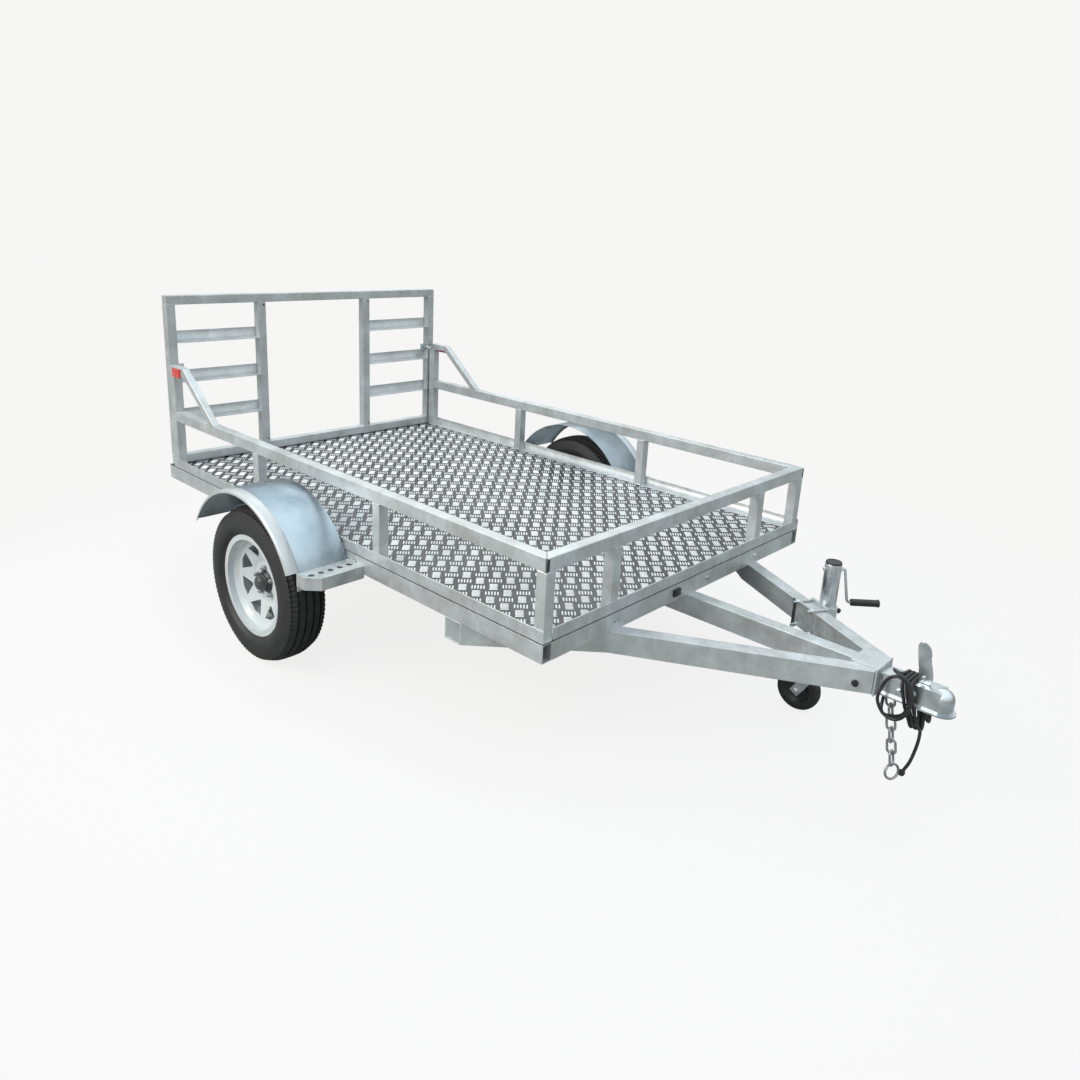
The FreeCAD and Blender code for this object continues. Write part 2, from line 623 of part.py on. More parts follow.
def make_coupling():
    """A pressed cup over the ball, with a channel behind it and a lip along the bottom."""
    ball = Vector(place_x(BALL_X), 0, value_of("ball_height"))
    socket = value_of("socket_radius")
    wall = value_of("coupling_wall")
    lip = value_of("coupling_lip")
    rear = place_x(f"{FRONT} + coupling_gap")
    inner_half = value_of("tongue_size / 2 + coupling_play")
    top = value_of("tongue_top")
    floor = value_of("coupling_floor")
    dome = socket + wall + 2
    half = inner_half + wall
    length = ball.x - rear
    outer = domed(ball, dome, floor, lip, wall)
    walls = Part.makeBox(length, 2 * half, top + wall - floor, Vector(rear, -half, floor))
    flange = Part.makeBox(length, 2 * (half + lip), wall, Vector(rear, -half - lip, floor))
    roomy = Part.makeBox(length - socket + 1, 2 * inner_half, top - floor + 1,
                         Vector(rear - 1, -inner_half, floor - 1))
    bore = domed(ball, socket, floor - 1, 0, wall)
    cup = outer.fuse([walls, flange]).removeSplitter().cut(bore).cut(roomy)
    node(shape_piece("cup", cup), "coupling_body")

    pivot = rear + value_of("lever_from_rear")
    thick = value_of("lever_thick")
    tall = value_of("lever_height")
    foot = top + wall
    path = [Vector(pivot + 6, foot - thick, 0), Vector(pivot + 2, foot + tall * 0.35, 0),
            Vector(pivot - 14, foot + tall * 0.7, 0), Vector(pivot - 10, foot + tall, 0)]
    lever = upright_prism(ribbon(path, 3 * thick), thick, -thick / 2)
    under = Part.makeBox(10 * thick, thick, 2 * thick, Vector(pivot - 5 * thick, -thick / 2, foot - 2 * thick))
    node(shape_piece("lever", lever.cut(under)), "coupling_lever")


def rounded_end(width, run, steps):
    """Corners of a flat oval standing on end, its ends made of a few flats."""
    corners = []
    for index in range(steps + 1):
        turn = math.pi * index / steps
        corners.append(Vector(width / 2 * math.cos(turn), run + width / 2 * math.sin(turn), 0))
    return corners + [Vector(-corner.x, -corner.y, 0) for corner in corners]


def chain_link(length, width, wire, middle, across):
    """A flat oval link standing on end about its middle."""
    run = length / 2 - width / 2
    steps = 6
    outer = upright_prism(rounded_end(width, run, steps), wire, -wire / 2)
    hole = upright_prism(rounded_end(width - 2 * wire, run, steps), 2 * wire, -wire)
    link = outer.cut(hole)
    link.rotate(Vector(), Vector(0, 0, 1), 90 if across else 0)
    link.translate(middle)
    return link


def chain_end():
    """The middle of the ring at the end of the leaning chain, its heading down, and the lug's hole."""
    wire = value_of("link_wire")
    hang = value_of("link_length - 2 * link_wire - chain_slack") * value_of("chain_links")
    hang += value_of("ring_radius + chain_slack + link_wire / 2")
    lean = math.radians(value_of("chain_lean"))
    hole = Vector(place_x(CHAIN_X), 0, value_of(CHAIN_TOP) + wire / 2)
    down = Vector(math.sin(lean), 0, -math.cos(lean))
    return hole + down * hang, down, hole


def make_chain():
    """Links from the lug under the tongue, each through the next, with a ring at the end."""
    wire = value_of("link_wire")
    length = value_of("link_length")
    pitch = length - 2 * wire - value_of("chain_slack")
    end, down, hole = chain_end()
    pieces = []
    for number in range(int(value_of("chain_links"))):
        middle = hole - Vector(0, 0, length / 2 + pitch * number)
        pieces.append(chain_link(length, value_of("link_width"), wire, middle, number % 2 == 0))
    ring = value_of("ring_radius")
    sides = 16
    turns = [2 * math.pi * index / sides for index in range(sides)]
    rims = [[Vector(size * math.cos(turn), size * math.sin(turn), 0) for turn in turns]
            for size in (ring + wire / 2, ring - wire / 2)]
    loop = upright_prism(rims[0], wire, -wire / 2).cut(upright_prism(rims[1], 2 * wire, -wire))
    loop.rotate(Vector(), Vector(0, 0, 1), value_of("ring_turn"))
    loop.translate(hole - Vector(0, 0, (hole - end).Length))
    chain = Part.makeCompound(pieces + [loop])
    chain.rotate(hole, Vector(0, 1, 0), -value_of("chain_lean"))
    node(shape_piece("chain", chain), "safety_chain")


def coil_top_x():
    return place_x(f"{FRONT} + coupling_gap + coil_front")


def make_coil():
    """The coil: turns round the coupling's neck, leaning forward, and a loose loop on the right."""
    size = value_of("cable_size")
    roof = value_of("tongue_top + coupling_wall")
    bottom = value_of("coupling_floor - coil_drop")
    inner = value_of("tongue_size / 2 + coupling_play + coupling_wall + coupling_lip + coil_gap")
    corner = value_of("coil_corner")
    wide = value_of("cable_size * coil_turns") - size / 3
    lean = math.tan(math.radians(value_of("coil_lean")))
    knee = value_of("coupling_floor + coil_knee")
    tip = value_of("coil_tip")
    steps = 6

    def band(half, high, low, corner_size, start, length):
        """An outline about the neck, narrow and round at its foot, pushed forward as it goes down."""
        flat = []
        for step in range(steps + 1):
            turn = math.pi / 2 * step / steps
            flat.append((half - corner_size + corner_size * math.sin(turn), high - corner_size
                         + corner_size * math.cos(turn)))
        flat.append((half, knee))
        tip_radius = tip - (inner + size - half)
        for step in range(steps):
            turn = math.pi / 2 * step / steps
            flat.append((tip_radius * math.cos(turn), low + tip_radius * (1 - math.sin(turn))))
        flat += [(0, low)] + [(-across, up) for across, up in reversed(flat)]
        raised = [Vector(start + (roof - up) * lean, across, up) for across, up in flat]
        return Part.Face(Part.makePolygon(raised + raised[:1])).extrude(Vector(length, 0, 0))

    start = coil_top_x() - wide / 2
    turns = band(inner + size, roof + size, bottom, corner + size, start, wide)
    turns = turns.cut(band(inner, roof, bottom + size, corner, start - wide, 3 * wide))

    tall = value_of("loop_tall") / 2
    half = value_of("loop_wide") / 2
    thick = size * 4 / 3
    hoop = [Vector(half * math.cos(turn), tall * math.sin(turn), 0)
            for turn in [2 * math.pi * step / 32 for step in range(32)]]
    hole = [Vector(point.x * (half - size) / half, point.y * (tall - size) / tall, 0) for point in hoop]
    loop = upright_prism(hoop, thick, -thick / 2).cut(upright_prism(hole, 2 * thick, -thick))
    loop.rotate(Vector(), Vector(1, 0, 0), -value_of("loop_lean"))
    loop_side = -inner - size / 2 - value_of("loop_out")
    loop.translate(Vector(start + value_of("loop_forward"), loop_side, (roof + bottom) / 2 + 3 * size))
    coil = turns.fuse(loop).removeSplitter()
    node(shape_piece("coil", coil), "cable_coil")


def rounded_route(points):
    """A wire of straight runs and the largest tangent arcs that its corners leave room for."""
    edges = []
    radii = []
    place = points[0]
    for before, point, after in zip(points, points[1:], points[2:]):
        into = (point - before).normalize()
        out = (after - point).normalize()
        half_turn = into.getAngle(out) / 2
        shorter = min((point - before).Length, (after - point).Length)
        reach = 0.45 * shorter
        radius = reach / math.tan(half_turn)
        radii.append(radius)
        start = point - into * reach
        end = point + out * reach
        inward = (out - into).normalize()
        middle = point + inward * (radius / math.cos(half_turn) - radius)
        edges.append(Part.LineSegment(place, start).toShape())
        edges.append(Part.Arc(start, middle, end).toShape())
        place = end
    edges.append(Part.LineSegment(place, points[-1]).toShape())
    return Part.Wire(edges), radii


def make_cable_end():
    """The boot in the coupling's channel, the cable's end down to the chain's ring, and its knot."""
    roof = value_of("tongue_top")
    boot_end = value_of("coupling_floor - boot_floor")
    neck_end = boot_end - value_of("boot_neck_length")
    x = place_x(f"{BALL_X} - boot_back")
    neck = value_of("boot_neck")
    boot = Part.makeCylinder(value_of("boot_radius"), roof - boot_end, Vector(x, 0, boot_end))
    boot = boot.fuse(Part.makeCylinder(neck, boot_end - neck_end, Vector(x, 0, neck_end))).removeSplitter()
    node(shape_piece("boot", boot), "cable_plug")

    size = value_of("cable_size")
    points = [Vector(x, 0, neck_end)] + [place_vector(*place) for place in TAIL]
    route, radii = rounded_route(points)
    circle = Part.Wire(Part.Circle(points[0], points[1] - points[0], size / 2).toShape())
    tail = route.makePipeShell([circle], True, False)
    node(shape_piece("tail", tail), "cable_tail")
    heading = (points[-1] - points[-2]).normalize()
    knot = Part.makeCylinder(value_of("knot_radius"), value_of("knot_length"), points[-1], heading)
    node(shape_piece("knot", knot), "cable_knot")
    print("cable radii", [round(radius) for radius in radii], "length", round(route.Length, 1),
          "volume", round(tail.Volume), "section times length", round(math.pi * size ** 2 / 4 * route.Length))


def jockey_axis():
    """The jockey leg's middle beside the left beam, with the beam's own two directions."""
    bend = Vector(place_x(BEND_X), value_of(BEND_OFF), 0)
    head = Vector(place_x(FRONT), value_of("beam_head_off"), 0)
    along = (head - bend).normalize()
    outward = Vector(-along.y, along.x, 0)
    side = value_of("beam_wide / 2 + jockey_out + jockey_tube_radius")
    back = (value_of("jockey_back") + outward.x * side) / along.x
    return head - along * back + outward * side, along, outward


def make_jockey_stand():
    """The clamp on the far beam, the outer tube it holds, and the winding handle."""
    leg, along, outward = jockey_axis()
    radius = value_of("jockey_tube_radius")
    top = value_of("jockey_tube_top")
    bottom = value_of("jockey_tube_bottom")
    floor = value_of("chassis_floor")
    tall = value_of("beam_tall")
    wide = value_of("beam_wide")
    plate = value_of("clamp_plate")
    length = value_of("clamp_length")
    gap = value_of("jockey_out")
    turn = math.degrees(math.atan2(along.y, along.x))
    face = leg - outward * (radius + gap)

    def slab(length_along, thick, height, middle_along, start_out, base):
        box = Part.makeBox(length_along, thick, height, Vector(-length_along / 2, 0, 0))
        box.rotate(Vector(), Vector(0, 0, 1), turn)
        box.translate(face + along * middle_along + outward * start_out + Vector(0, 0, base))
        return box

    bore = Part.makeCylinder(radius, 2 * top, leg)
    grip = gap + plate / 2
    outer_plate = slab(length, grip, tall, 0, 0, floor - tall)
    inner_plate = slab(length, plate, tall + 2 * plate, 0, -wide - plate, floor - tall - plate)
    collar_tall = value_of("clamp_tall")
    collar = Part.makeCylinder(radius + gap, collar_tall, leg + Vector(0, 0, floor - collar_tall))
    bolts = []
    for end in (-1, 1):
        for level in (floor + plate / 2 + 1, floor - tall - plate / 2 - 1):
            rod = Part.makeCylinder(plate / 2, wide + plate + grip, face - outward * (wide + plate)
                                    + along * (end * (length / 2 - plate)) + Vector(0, 0, level), outward)
            bolts.append(rod)
    ear = plate + 3
    ears = [slab(length, grip, ear, 0, 0, level) for level in (floor, floor - tall - ear)]
    clamp = outer_plate.fuse([inner_plate, collar] + ears + bolts).cut(bore).removeSplitter()
    node(shape_piece("clamp", clamp), "jockey_clamp")

    wall = value_of("jockey_tube_wall")
    cap_tall = value_of("jockey_cap_tall")
    cap = Part.makeCylinder(radius - wall / 2, cap_tall, leg + Vector(0, 0, top))
    outer = Part.makeCylinder(radius, top - bottom, leg + Vector(0, 0, bottom))
    inner = Part.makeCylinder(radius - wall, top - bottom - wall, leg + Vector(0, 0, bottom))
    node(shape_piece("outer_tube", outer.cut(inner).fuse(cap).removeSplitter()), "jockey_tube")

    rod = value_of("crank_rod")
    reach = value_of("crank_reach")
    drop = value_of("crank_drop")
    arm_top = radius + value_of("crank_pivot_out")
    corners = [Vector(radius - rod, 0, 0), Vector(arm_top, 0, 0), Vector(reach, -drop, 0)]
    crank = upright_prism(ribbon(corners, rod), rod, -rod / 2)
    grip_start = Vector(reach - rod / 2, 0, -drop)
    grip = Part.makeCylinder(value_of("grip_radius"), value_of("grip_length") + rod, grip_start, Vector(1, 0, 0))
    crank = crank.fuse(grip).cut(Part.makeCylinder(radius, 4 * rod, Vector(0, 0, -2 * rod))).removeSplitter()
    crank.rotate(Vector(), Vector(0, 0, 1), value_of("crank_turn"))
    crank.translate(leg + Vector(0, 0, top - value_of("crank_pivot_under")))
    node(shape_piece("crank", crank), "jockey_crank")


def make_jockey_leg():
    """The sliding leg, its castor fork and the wheel."""
    middle = jockey_axis()[0]
    x = middle.x
    y = middle.y
    bore = value_of("jockey_tube_radius - jockey_tube_wall")
    play = value_of("slide_play")
    crown = value_of("fork_crown")
    thick = value_of("fork_thick")
    stem = value_of("fork_stem")
    leg_radius = bore - play
    leg_top = value_of("jockey_tube_bottom + leg_engaged")
    foot = crown + value_of("swivel_gap")
    leg = Part.makeCylinder(leg_radius, leg_top - foot, Vector(x, y, foot))
    socket = Part.makeCylinder(stem + play, value_of("stem_length") + play, Vector(x, y, foot))
    node(shape_piece("leg", leg.cut(socket)), "jockey_leg")

    wheel_radius = value_of("jockey_wheel_radius")
    width = value_of("jockey_wheel_width")
    trail = value_of("jockey_trail")
    axle = Vector(x - trail, y, wheel_radius)
    side_gap = value_of("wheel_side_gap")
    pin = value_of("jockey_pin")
    top_plate = Part.makeCylinder(leg_radius + thick, thick, Vector(x, y, crown - thick))
    half = width / 2 + side_gap
    upper = Vector(x, crown - thick, 0)
    lower = Vector(x - trail, wheel_radius, 0)
    lean = (upper - lower).normalize()
    side = upright_prism(ribbon([upper + lean * 4 * pin, lower - lean * 2 * pin], 5 * pin), thick, y + half)
    above = Part.makeBox(10 * width, 4 * width, width, Vector(x - 5 * width, y - 2 * width, crown))
    corner = Vector(x - 2.5 * pin, y - half - thick, crown - thick)
    crown_bar = Part.makeBox(5 * pin, 2 * (half + thick), thick, corner)
    sides = [side, side.translated(Vector(0, -2 * half - thick, 0))]
    rod = Part.makeCylinder(pin, 2 * (half + 2 * thick), axle - Vector(0, half + 2 * thick, 0), Vector(0, 1, 0))
    stud = Part.makeCylinder(stem, value_of("stem_length") + crown - foot + thick, Vector(x, y, crown - thick))
    fork = top_plate.fuse([crown_bar, rod] + sides).cut(above).fuse(stud).removeSplitter()
    node(shape_piece("fork", fork), "jockey_fork")

    edge = value_of("jockey_tyre_edge")
    corners = [(-width / 2, pin), (-width / 2, wheel_radius - edge), (-width / 2 + edge, wheel_radius),
               (width / 2 - edge, wheel_radius), (width / 2, wheel_radius - edge), (width / 2, pin)]
    disc = ring_of_flats(corners, (), int(value_of("jockey_wheel_flats")))
    disc = disc.cut(Part.makeCylinder(pin + play, 2 * width, Vector(0, -width, 0), Vector(0, 1, 0)))
    disc.translate(axle)
    node(shape_piece("small_wheel", disc), "jockey_wheel")


def make_axle():
    half = f"({TRACK_HALF} - tyre_width / 2 - axle_inset)"
    beam = block("axle_bar", ("axle_size", f"2 * {half}", "axle_size"),
                 ("axle_x - axle_size / 2", f"-{half}", "tyre_radius - axle_size / 2"))
    spindle = round_bar("spindle", "spindle_radius", f"2 * ({TRACK_HALF} + spindle_reach)",
                        ("axle_x", f"-{TRACK_HALF} - spindle_reach", "tyre_radius"), "y")
    node(fuse("axle_and_spindles", beam, spindle), "axle_beam")


def leaf(reach, base, lift, flat, thick, wide, side):
    """One leaf, flat over the axle, then rising by lift times the square of the distance."""
    x = place_x("axle_x")
    steps = 6
    half = [flat + (reach - flat) * step / steps for step in range(steps + 1)]
    middle = [Vector(x + place, base + thick / 2 + lift * (abs(place) - flat) ** 2, 0)
              for place in [-length for length in reversed(half)] + half]
    return upright_prism(ribbon(middle, thick), wide, side)


def make_springs():
    """Leaf packs on the axle, with hangers and U-bolt plates."""
    wide = value_of("spring_wide")
    thick = value_of("leaf_thick")
    seat = value_of("tyre_radius + axle_size / 2")
    half = value_of("spring_half")
    rise = value_of("spring_rise")
    eye = value_of("eye_radius")
    pin = value_of("eye_pin")
    x = place_x("axle_x")
    side = -value_of(HALF) + value_of("hanger_thick + hanger_play")
    count = int(value_of("leaf_count"))
    flat = value_of("axle_size")
    lift = rise / (half - flat) ** 2
    spacing = (half - value_of("leaf_shortest")) / (count - 1)
    leaves = []
    for number in range(count):
        reach = half - spacing * (count - 1 - number)
        leaves.append(leaf(reach, seat + thick * number, lift, flat, thick, wide, side))
    eye_height = seat + thick * count + rise + eye - thick
    pack = leaves[0].fuse(leaves[1:])
    holes = []
    for end in (-1, 1):
        place = Vector(x + end * half, side, eye_height)
        pack = pack.fuse(Part.makeCylinder(eye, wide, place, Vector(0, 1, 0)))
        holes.append(Part.makeCylinder(pin, wide, place, Vector(0, 1, 0)))
    pack = pack.cut(Part.makeCompound(holes)).removeSplitter()
    node(shape_piece("spring_packs", Part.makeCompound([pack, other_side(pack)])), "leaf_springs")

    plate = value_of("hanger_thick")
    floor = value_of("chassis_floor")
    play = value_of("hanger_play")
    hangers = []
    for end in (-1, 1):
        width_x = 2 * (eye + plate)
        base = eye_height - eye
        cheeks = [Part.makeBox(width_x, plate, floor - base, Vector(x + end * half - width_x / 2, start, base))
                  for start in (side - play - plate, side + wide + play)]
        bridge = Part.makeBox(width_x, wide + 2 * (play + plate), plate,
                              Vector(x + end * half - width_x / 2, side - play - plate, floor - plate))
        bolt = Part.makeCylinder(pin, wide + 2 * (play + 2 * plate),
                                 Vector(x + end * half, side - play - 2 * plate, eye_height), Vector(0, 1, 0))
        hangers.append(cheeks[0].fuse([cheeks[1], bridge, bolt]).removeSplitter())
    hangers += [other_side(hanger) for hanger in hangers]
    node(shape_piece("hangers", Part.makeCompound(hangers)), "spring_hangers")

    rod = value_of("ubolt_rod")
    axle = value_of("axle_size")
    under = value_of("tyre_radius") - axle / 2 - plate
    over = seat + thick * count
    reach = axle + 4 * rod
    plates = [Part.makeBox(reach + 2 * rod, wide + 6 * rod, plate,
                           Vector(x - reach / 2 - rod, side - 3 * rod, level)) for level in (under, over)]
    rods = []
    for across in (-1, 1):
        for along in (side - 1.5 * rod, side + wide + 1.5 * rod):
            foot = Vector(x + across * (reach / 2 - rod), along, under - plate)
            rods.append(Part.makeCylinder(rod, over - under + 2 * plate, foot))
    clamp = plates[0].fuse([plates[1]] + rods).removeSplitter()
    node(shape_piece("clamps", Part.makeCompound([clamp, other_side(clamp)])), "spring_clamps")


def arc_point(x, z, radius, degrees):
    turn = math.radians(degrees)
    return Vector(x + radius * math.cos(turn), z + radius * math.sin(turn), 0)


def arched_sheet(x, z, radius, thick, start, end):
    """A curved sheet's edge outline in (x, z), as a face in the XZ plane."""
    def at(size, degrees):
        flat = arc_point(x, z, size, degrees)
        return Vector(flat.x, 0, flat.y)
    middle = (start + end) / 2
    inner = radius - thick
    edges = [
        Part.Arc(at(radius, start), at(radius, middle), at(radius, end)).toShape(),
        Part.makeLine(at(radius, end), at(inner, end)),
        Part.Arc(at(inner, end), at(inner, middle), at(inner, start)).toShape(),
        Part.makeLine(at(inner, start), at(radius, start)),
    ]
    return Part.Face(Part.Wire(edges))


def step_rear():
    """Where the step's rear meets the mudguard's outer face."""
    lift = value_of("step_height - tyre_radius")
    return place_x("axle_x") + math.sqrt(value_of("guard_radius") ** 2 - lift ** 2)


def make_mudguards():
    """An arched sheet with a turned-down outer lip, over each wheel."""
    x = place_x("axle_x")
    z = value_of("tyre_radius")
    radius = value_of("guard_radius")
    thick = value_of("guard_thick")
    width = value_of(GUARD_WIDTH)
    start = value_of("guard_front_angle")
    end = value_of("guard_rear_angle")
    inner = -value_of(HALF) - value_of("guard_gap")
    sheet_arc = arched_sheet(x, z, radius, thick, start, end).extrude(Vector(0, width, 0))
    sheet_arc.translate(Vector(0, inner - width, 0))
    lip = arched_sheet(x, z, radius, value_of("guard_lip"), start, end).extrude(Vector(0, thick, 0))
    lip.translate(Vector(0, inner - width, 0))
    guard = sheet_arc.fuse(lip).removeSplitter()
    node(shape_piece("guards", Part.makeCompound([guard, other_side(guard)])), "mudguards")

    bar = value_of("bracket_bar")
    under = Part.makeCylinder(radius - thick, 2 * width, Vector(x, inner - 1.5 * width, z), Vector(0, 1, 0))
    brackets = []
    reach = step_rear() - value_of("bracket_step_gap") - bar / 2 - x
    front_angle = math.degrees(math.acos(reach / (radius - thick)))
    for degrees in (end - 1, front_angle):
        place = arc_point(x, z, radius - thick, degrees)
        length = width * 0.35 + value_of("guard_gap")
        corner = Vector(place.x - bar / 2, -value_of(HALF) - length, place.y - 1.6 * bar)
        box = Part.makeBox(bar, length, 2.2 * bar, corner)
        brackets.append(box.common(under))
    brackets += [other_side(bracket) for bracket in brackets]
    node(shape_piece("guard_brackets", Part.makeCompound(brackets)), "mudguard_brackets")


def make_steps():
    """A folded plate with a skirt ahead of each mudguard, its outer corner chamfered."""
    top = value_of("step_height")
    thick = value_of("step_thick")
    skirt = value_of("step_skirt")
    width = value_of("step_width")
    depth = value_of("step_depth")
    corner = value_of("step_corner")
    rear = step_rear()
    side = -value_of(HALF)

    def plan(inset):
        return [Vector(rear + inset, side - inset, 0), Vector(rear + depth - inset, side - inset, 0),
                Vector(rear + depth - inset, side - width + corner + inset * 0.4, 0),
                Vector(rear + depth - corner - inset * 0.4, side - width + inset, 0),
                Vector(rear + inset, side - width + inset, 0)]

    step = prism(plan(0), skirt, top - skirt).cut(prism(plan(thick), skirt, top - skirt - thick))
    hole = value_of("step_hole")
    count = int(value_of("step_holes"))
    for number in range(count):
        along = side - width * (number + 0.8) / (count + 0.6)
        step = step.cut(Part.makeCylinder(hole, 4 * thick, Vector(rear + depth / 2, along, top - 2 * thick)))
    node(shape_piece("step_plates", Part.makeCompound([step, other_side(step)])), "steps")


def ring_of_flats(outline, seats, count):
    """A ring about the Y axis from (y, radius) corners, made of flats, with a corner at its bottom.

    The corners numbered in seats lie on a round piece, so their flats touch it.
    """
    reach = 1 / math.cos(math.pi / count)
    rings = []
    for index, (across, out) in enumerate(outline):
        size = out * reach if index in seats else out
        turns = [2 * math.pi * step / count - math.pi / 2 for step in range(count)]
        rings.append([Vector(size * math.cos(turn), across, size * math.sin(turn)) for turn in turns])
    faces = []
    for index, ring in enumerate(rings):
        other = rings[(index + 1) % len(rings)]
        for step in range(count):
            after = (step + 1) % count
            corners = [ring[step], ring[after], other[after], other[step]]
            faces.append(Part.Face(Part.makePolygon(corners + corners[:1])))
    solid = Part.Solid(Part.Shell(faces))
    if solid.Volume < 0:
        solid.reverse()
    return solid


def make_tyres():
    """The tyres, with the bead on the rim."""
    seat = value_of("rim_radius")
    flange = value_of("flange_radius")
    bead = value_of("rim_width / 2 - rim_wall")
    half = value_of("tyre_width / 2")
    tread = value_of("tread_width / 2")
    outer = value_of("tyre_radius")
    widest = value_of("tyre_widest")
    side = [(bead, seat), (bead, flange), (half, flange + 22), (half, outer - widest), (half - 6, outer - 36),
            (tread + 6, outer - 13), (tread - 8, outer - 3), (tread / 2, outer)]
    outline = side + [(-across, out) for across, out in reversed(side)]
    last = len(outline) - 1
    tyre = ring_of_flats(outline, (0, 1, last - 1, last), int(value_of("tyre_flats")))
    for label, sign in (("right", -1), ("left", 1)):
        piece = shape_piece(f"tyre_ring_{label}", tyre)
        piece.Placement.Base = Vector(place_x("axle_x"), sign * value_of(TRACK_HALF), value_of("tyre_radius"))
        node(piece, f"tyre_{label}")


def make_wheel():
    """Rim with eight windows and hub of the right wheel, then the same on the left."""
    half_rim = "rim_width / 2"
    wall = "rim_wall"
    barrel = turned("rim_barrel", [
        (f"-{half_rim}", "flange_radius"), (f"-{half_rim} + {wall}", "flange_radius"),
        (f"-{half_rim} + {wall}", "rim_radius"), ("-rim_well", "rim_radius"), ("-rim_well + 14", "well_radius"),
        ("rim_well - 14", "well_radius"), ("rim_well", "rim_radius"), (f"{half_rim} - {wall}", "rim_radius"),
        (f"{half_rim} - {wall}", "flange_radius"), (f"{half_rim}", "flange_radius"),
        (f"{half_rim}", f"rim_radius - {wall}"), ("rim_well + 2", f"rim_radius - {wall}"),
        ("rim_well - 12", f"well_radius - {wall}"), ("-rim_well + 12", f"well_radius - {wall}"),
        ("-rim_well - 2", f"rim_radius - {wall}"), (f"-{half_rim}", f"rim_radius - {wall}"),
    ])
    disc = turned("rim_disc", [
        ("-disc_face", "centre_bore"), ("-disc_face", "disc_flat"), ("-disc_face - 6", "disc_crown"),
        ("-rim_well + 12", f"well_radius - {wall} / 2"),
        ("-rim_well + 12 + disc_thick", f"well_radius - {wall} / 2"),
        ("-disc_face - 6 + disc_thick", "disc_crown"), ("-disc_face + disc_thick", "disc_flat"),
        ("-disc_face + disc_thick", "centre_bore"),
    ])
    windows = []
    count = int(value_of("window_count"))
    inner = value_of("disc_crown + 3")
    outer = value_of(f"well_radius - {wall} - 16")
    for number in range(count):
        turn = 360 * (number + 0.5) / count
        spread = 360 / count * 0.36
        corners = [arc_point(0, 0, outer, turn - spread), arc_point(0, 0, outer + 4, turn),
                   arc_point(0, 0, outer, turn + spread), arc_point(0, 0, inner, turn + 2.5),
                   arc_point(0, 0, inner, turn - 2.5)]
        windows.append(upright_prism(corners, value_of("rim_width"), -value_of("rim_width")))
    opened = cut("rim_disc_open", disc, shape_piece("rim_windows", Part.makeCompound(windows)))
    rim = fuse("rim", barrel, opened)

    hub = turned("hub_turned", [
        ("hub_back", "spindle_radius + hub_play"), ("hub_back", "hub_radius"), ("hub_back - 22", "hub_radius"),
        ("hub_back - 30", "hub_neck"), ("-disc_face + disc_thick + 8", "hub_neck"),
        ("-disc_face + disc_thick + 8", "disc_flat - 6"), ("-disc_face + disc_thick", "disc_flat - 6"),
        ("-disc_face + disc_thick", "centre_bore - 1"), ("-disc_face - hub_nose / 3", "centre_bore - 1"),
        ("-disc_face - hub_nose", "centre_bore - 9"),
        ("-disc_face - hub_nose", "hub_cap"), ("-disc_face - hub_nose - cap_length + 4", "hub_cap"),
        ("-disc_face - hub_nose - cap_length", "hub_cap - 4"), ("-disc_face - hub_nose - cap_length", "0"),
        ("-spindle_reach - 3", "0"), ("-spindle_reach - 3", "spindle_radius + hub_play"),
    ])
    for piece, label in ((rim, "rim"), (hub, "hub")):
        put(piece, "axle_x", f"-{TRACK_HALF}", "tyre_radius")
        node(piece, f"{label}_right")
        node(mirrored(f"{label}_mirror", piece), f"{label}_left")


def rung_angle(name, y, length, top):
    """An angle iron rung: flat leg below, forward; upright leg behind."""
    angle = padded(name, "XZ_Plane",
                   [("rung_back", f"{top}"), ("rung_back", f"{top} - rung_leg"),
                    ("rung_back + rung_leg", f"{top} - rung_leg"),
                    ("rung_back + rung_leg", f"{top} - rung_leg + rung_thick"),
                    ("rung_back + rung_thick", f"{top} - rung_leg + rung_thick"),
                    ("rung_back + rung_thick", f"{top}")],
                   length, centred=True)
    return put(angle, "0", y, "0")


def make_tailgate():
    """The ramp gate: square tube frame, two ladders of angle rungs, hinge barrels and latches."""
    side = f"({HALF} - gate_inset)"
    foot = f"({CHASSIS_TOP} + gate_lift)"
    tall = f"gate_height - {foot} - gate_tube"
    size = "gate_tube"
    near = tube("gate_upright", (size, size, f"{tall} - gate_tube"), ("0", f"-{side}", f"{foot} + gate_tube"),
                "gate_wall", "z")
    inner = tube("gate_inner", (size, size, f"{tall} - gate_tube"),
                 ("0", "-gate_inner_off - gate_tube / 2", f"{foot} + gate_tube"), "gate_wall", "z")
    far = mirrored("gate_upright_left", near)
    node(group("gate_posts", near, far, inner, mirrored("gate_inner_left", inner)), "gate_uprights")
    rails = []
    for name, base in (("gate_top", "gate_height - gate_tube"), ("gate_bottom", foot)):
        rails.append(tube(name, (size, f"2 * {side}", size), ("0", f"-{side}", base), "gate_wall", "y",
                          capped=True))
    node(group("gate_rail_pair", *rails), "gate_rails")
    rungs = []
    middle = f"({side} + gate_inner_off) / 2"
    length = f"{side} - gate_inner_off - 1.5 * gate_tube"
    for number in range(int(value_of("rung_count"))):
        rung = rung_angle(f"rung_{number + 1}", f"-({middle} - gate_tube / 4)", length,
                          f"(rung_top - rung_pitch * {number})")
        rungs += [rung, mirrored(f"rung_left_{number + 1}", rung)]
    node(group("rungs", *rungs), "gate_rungs")


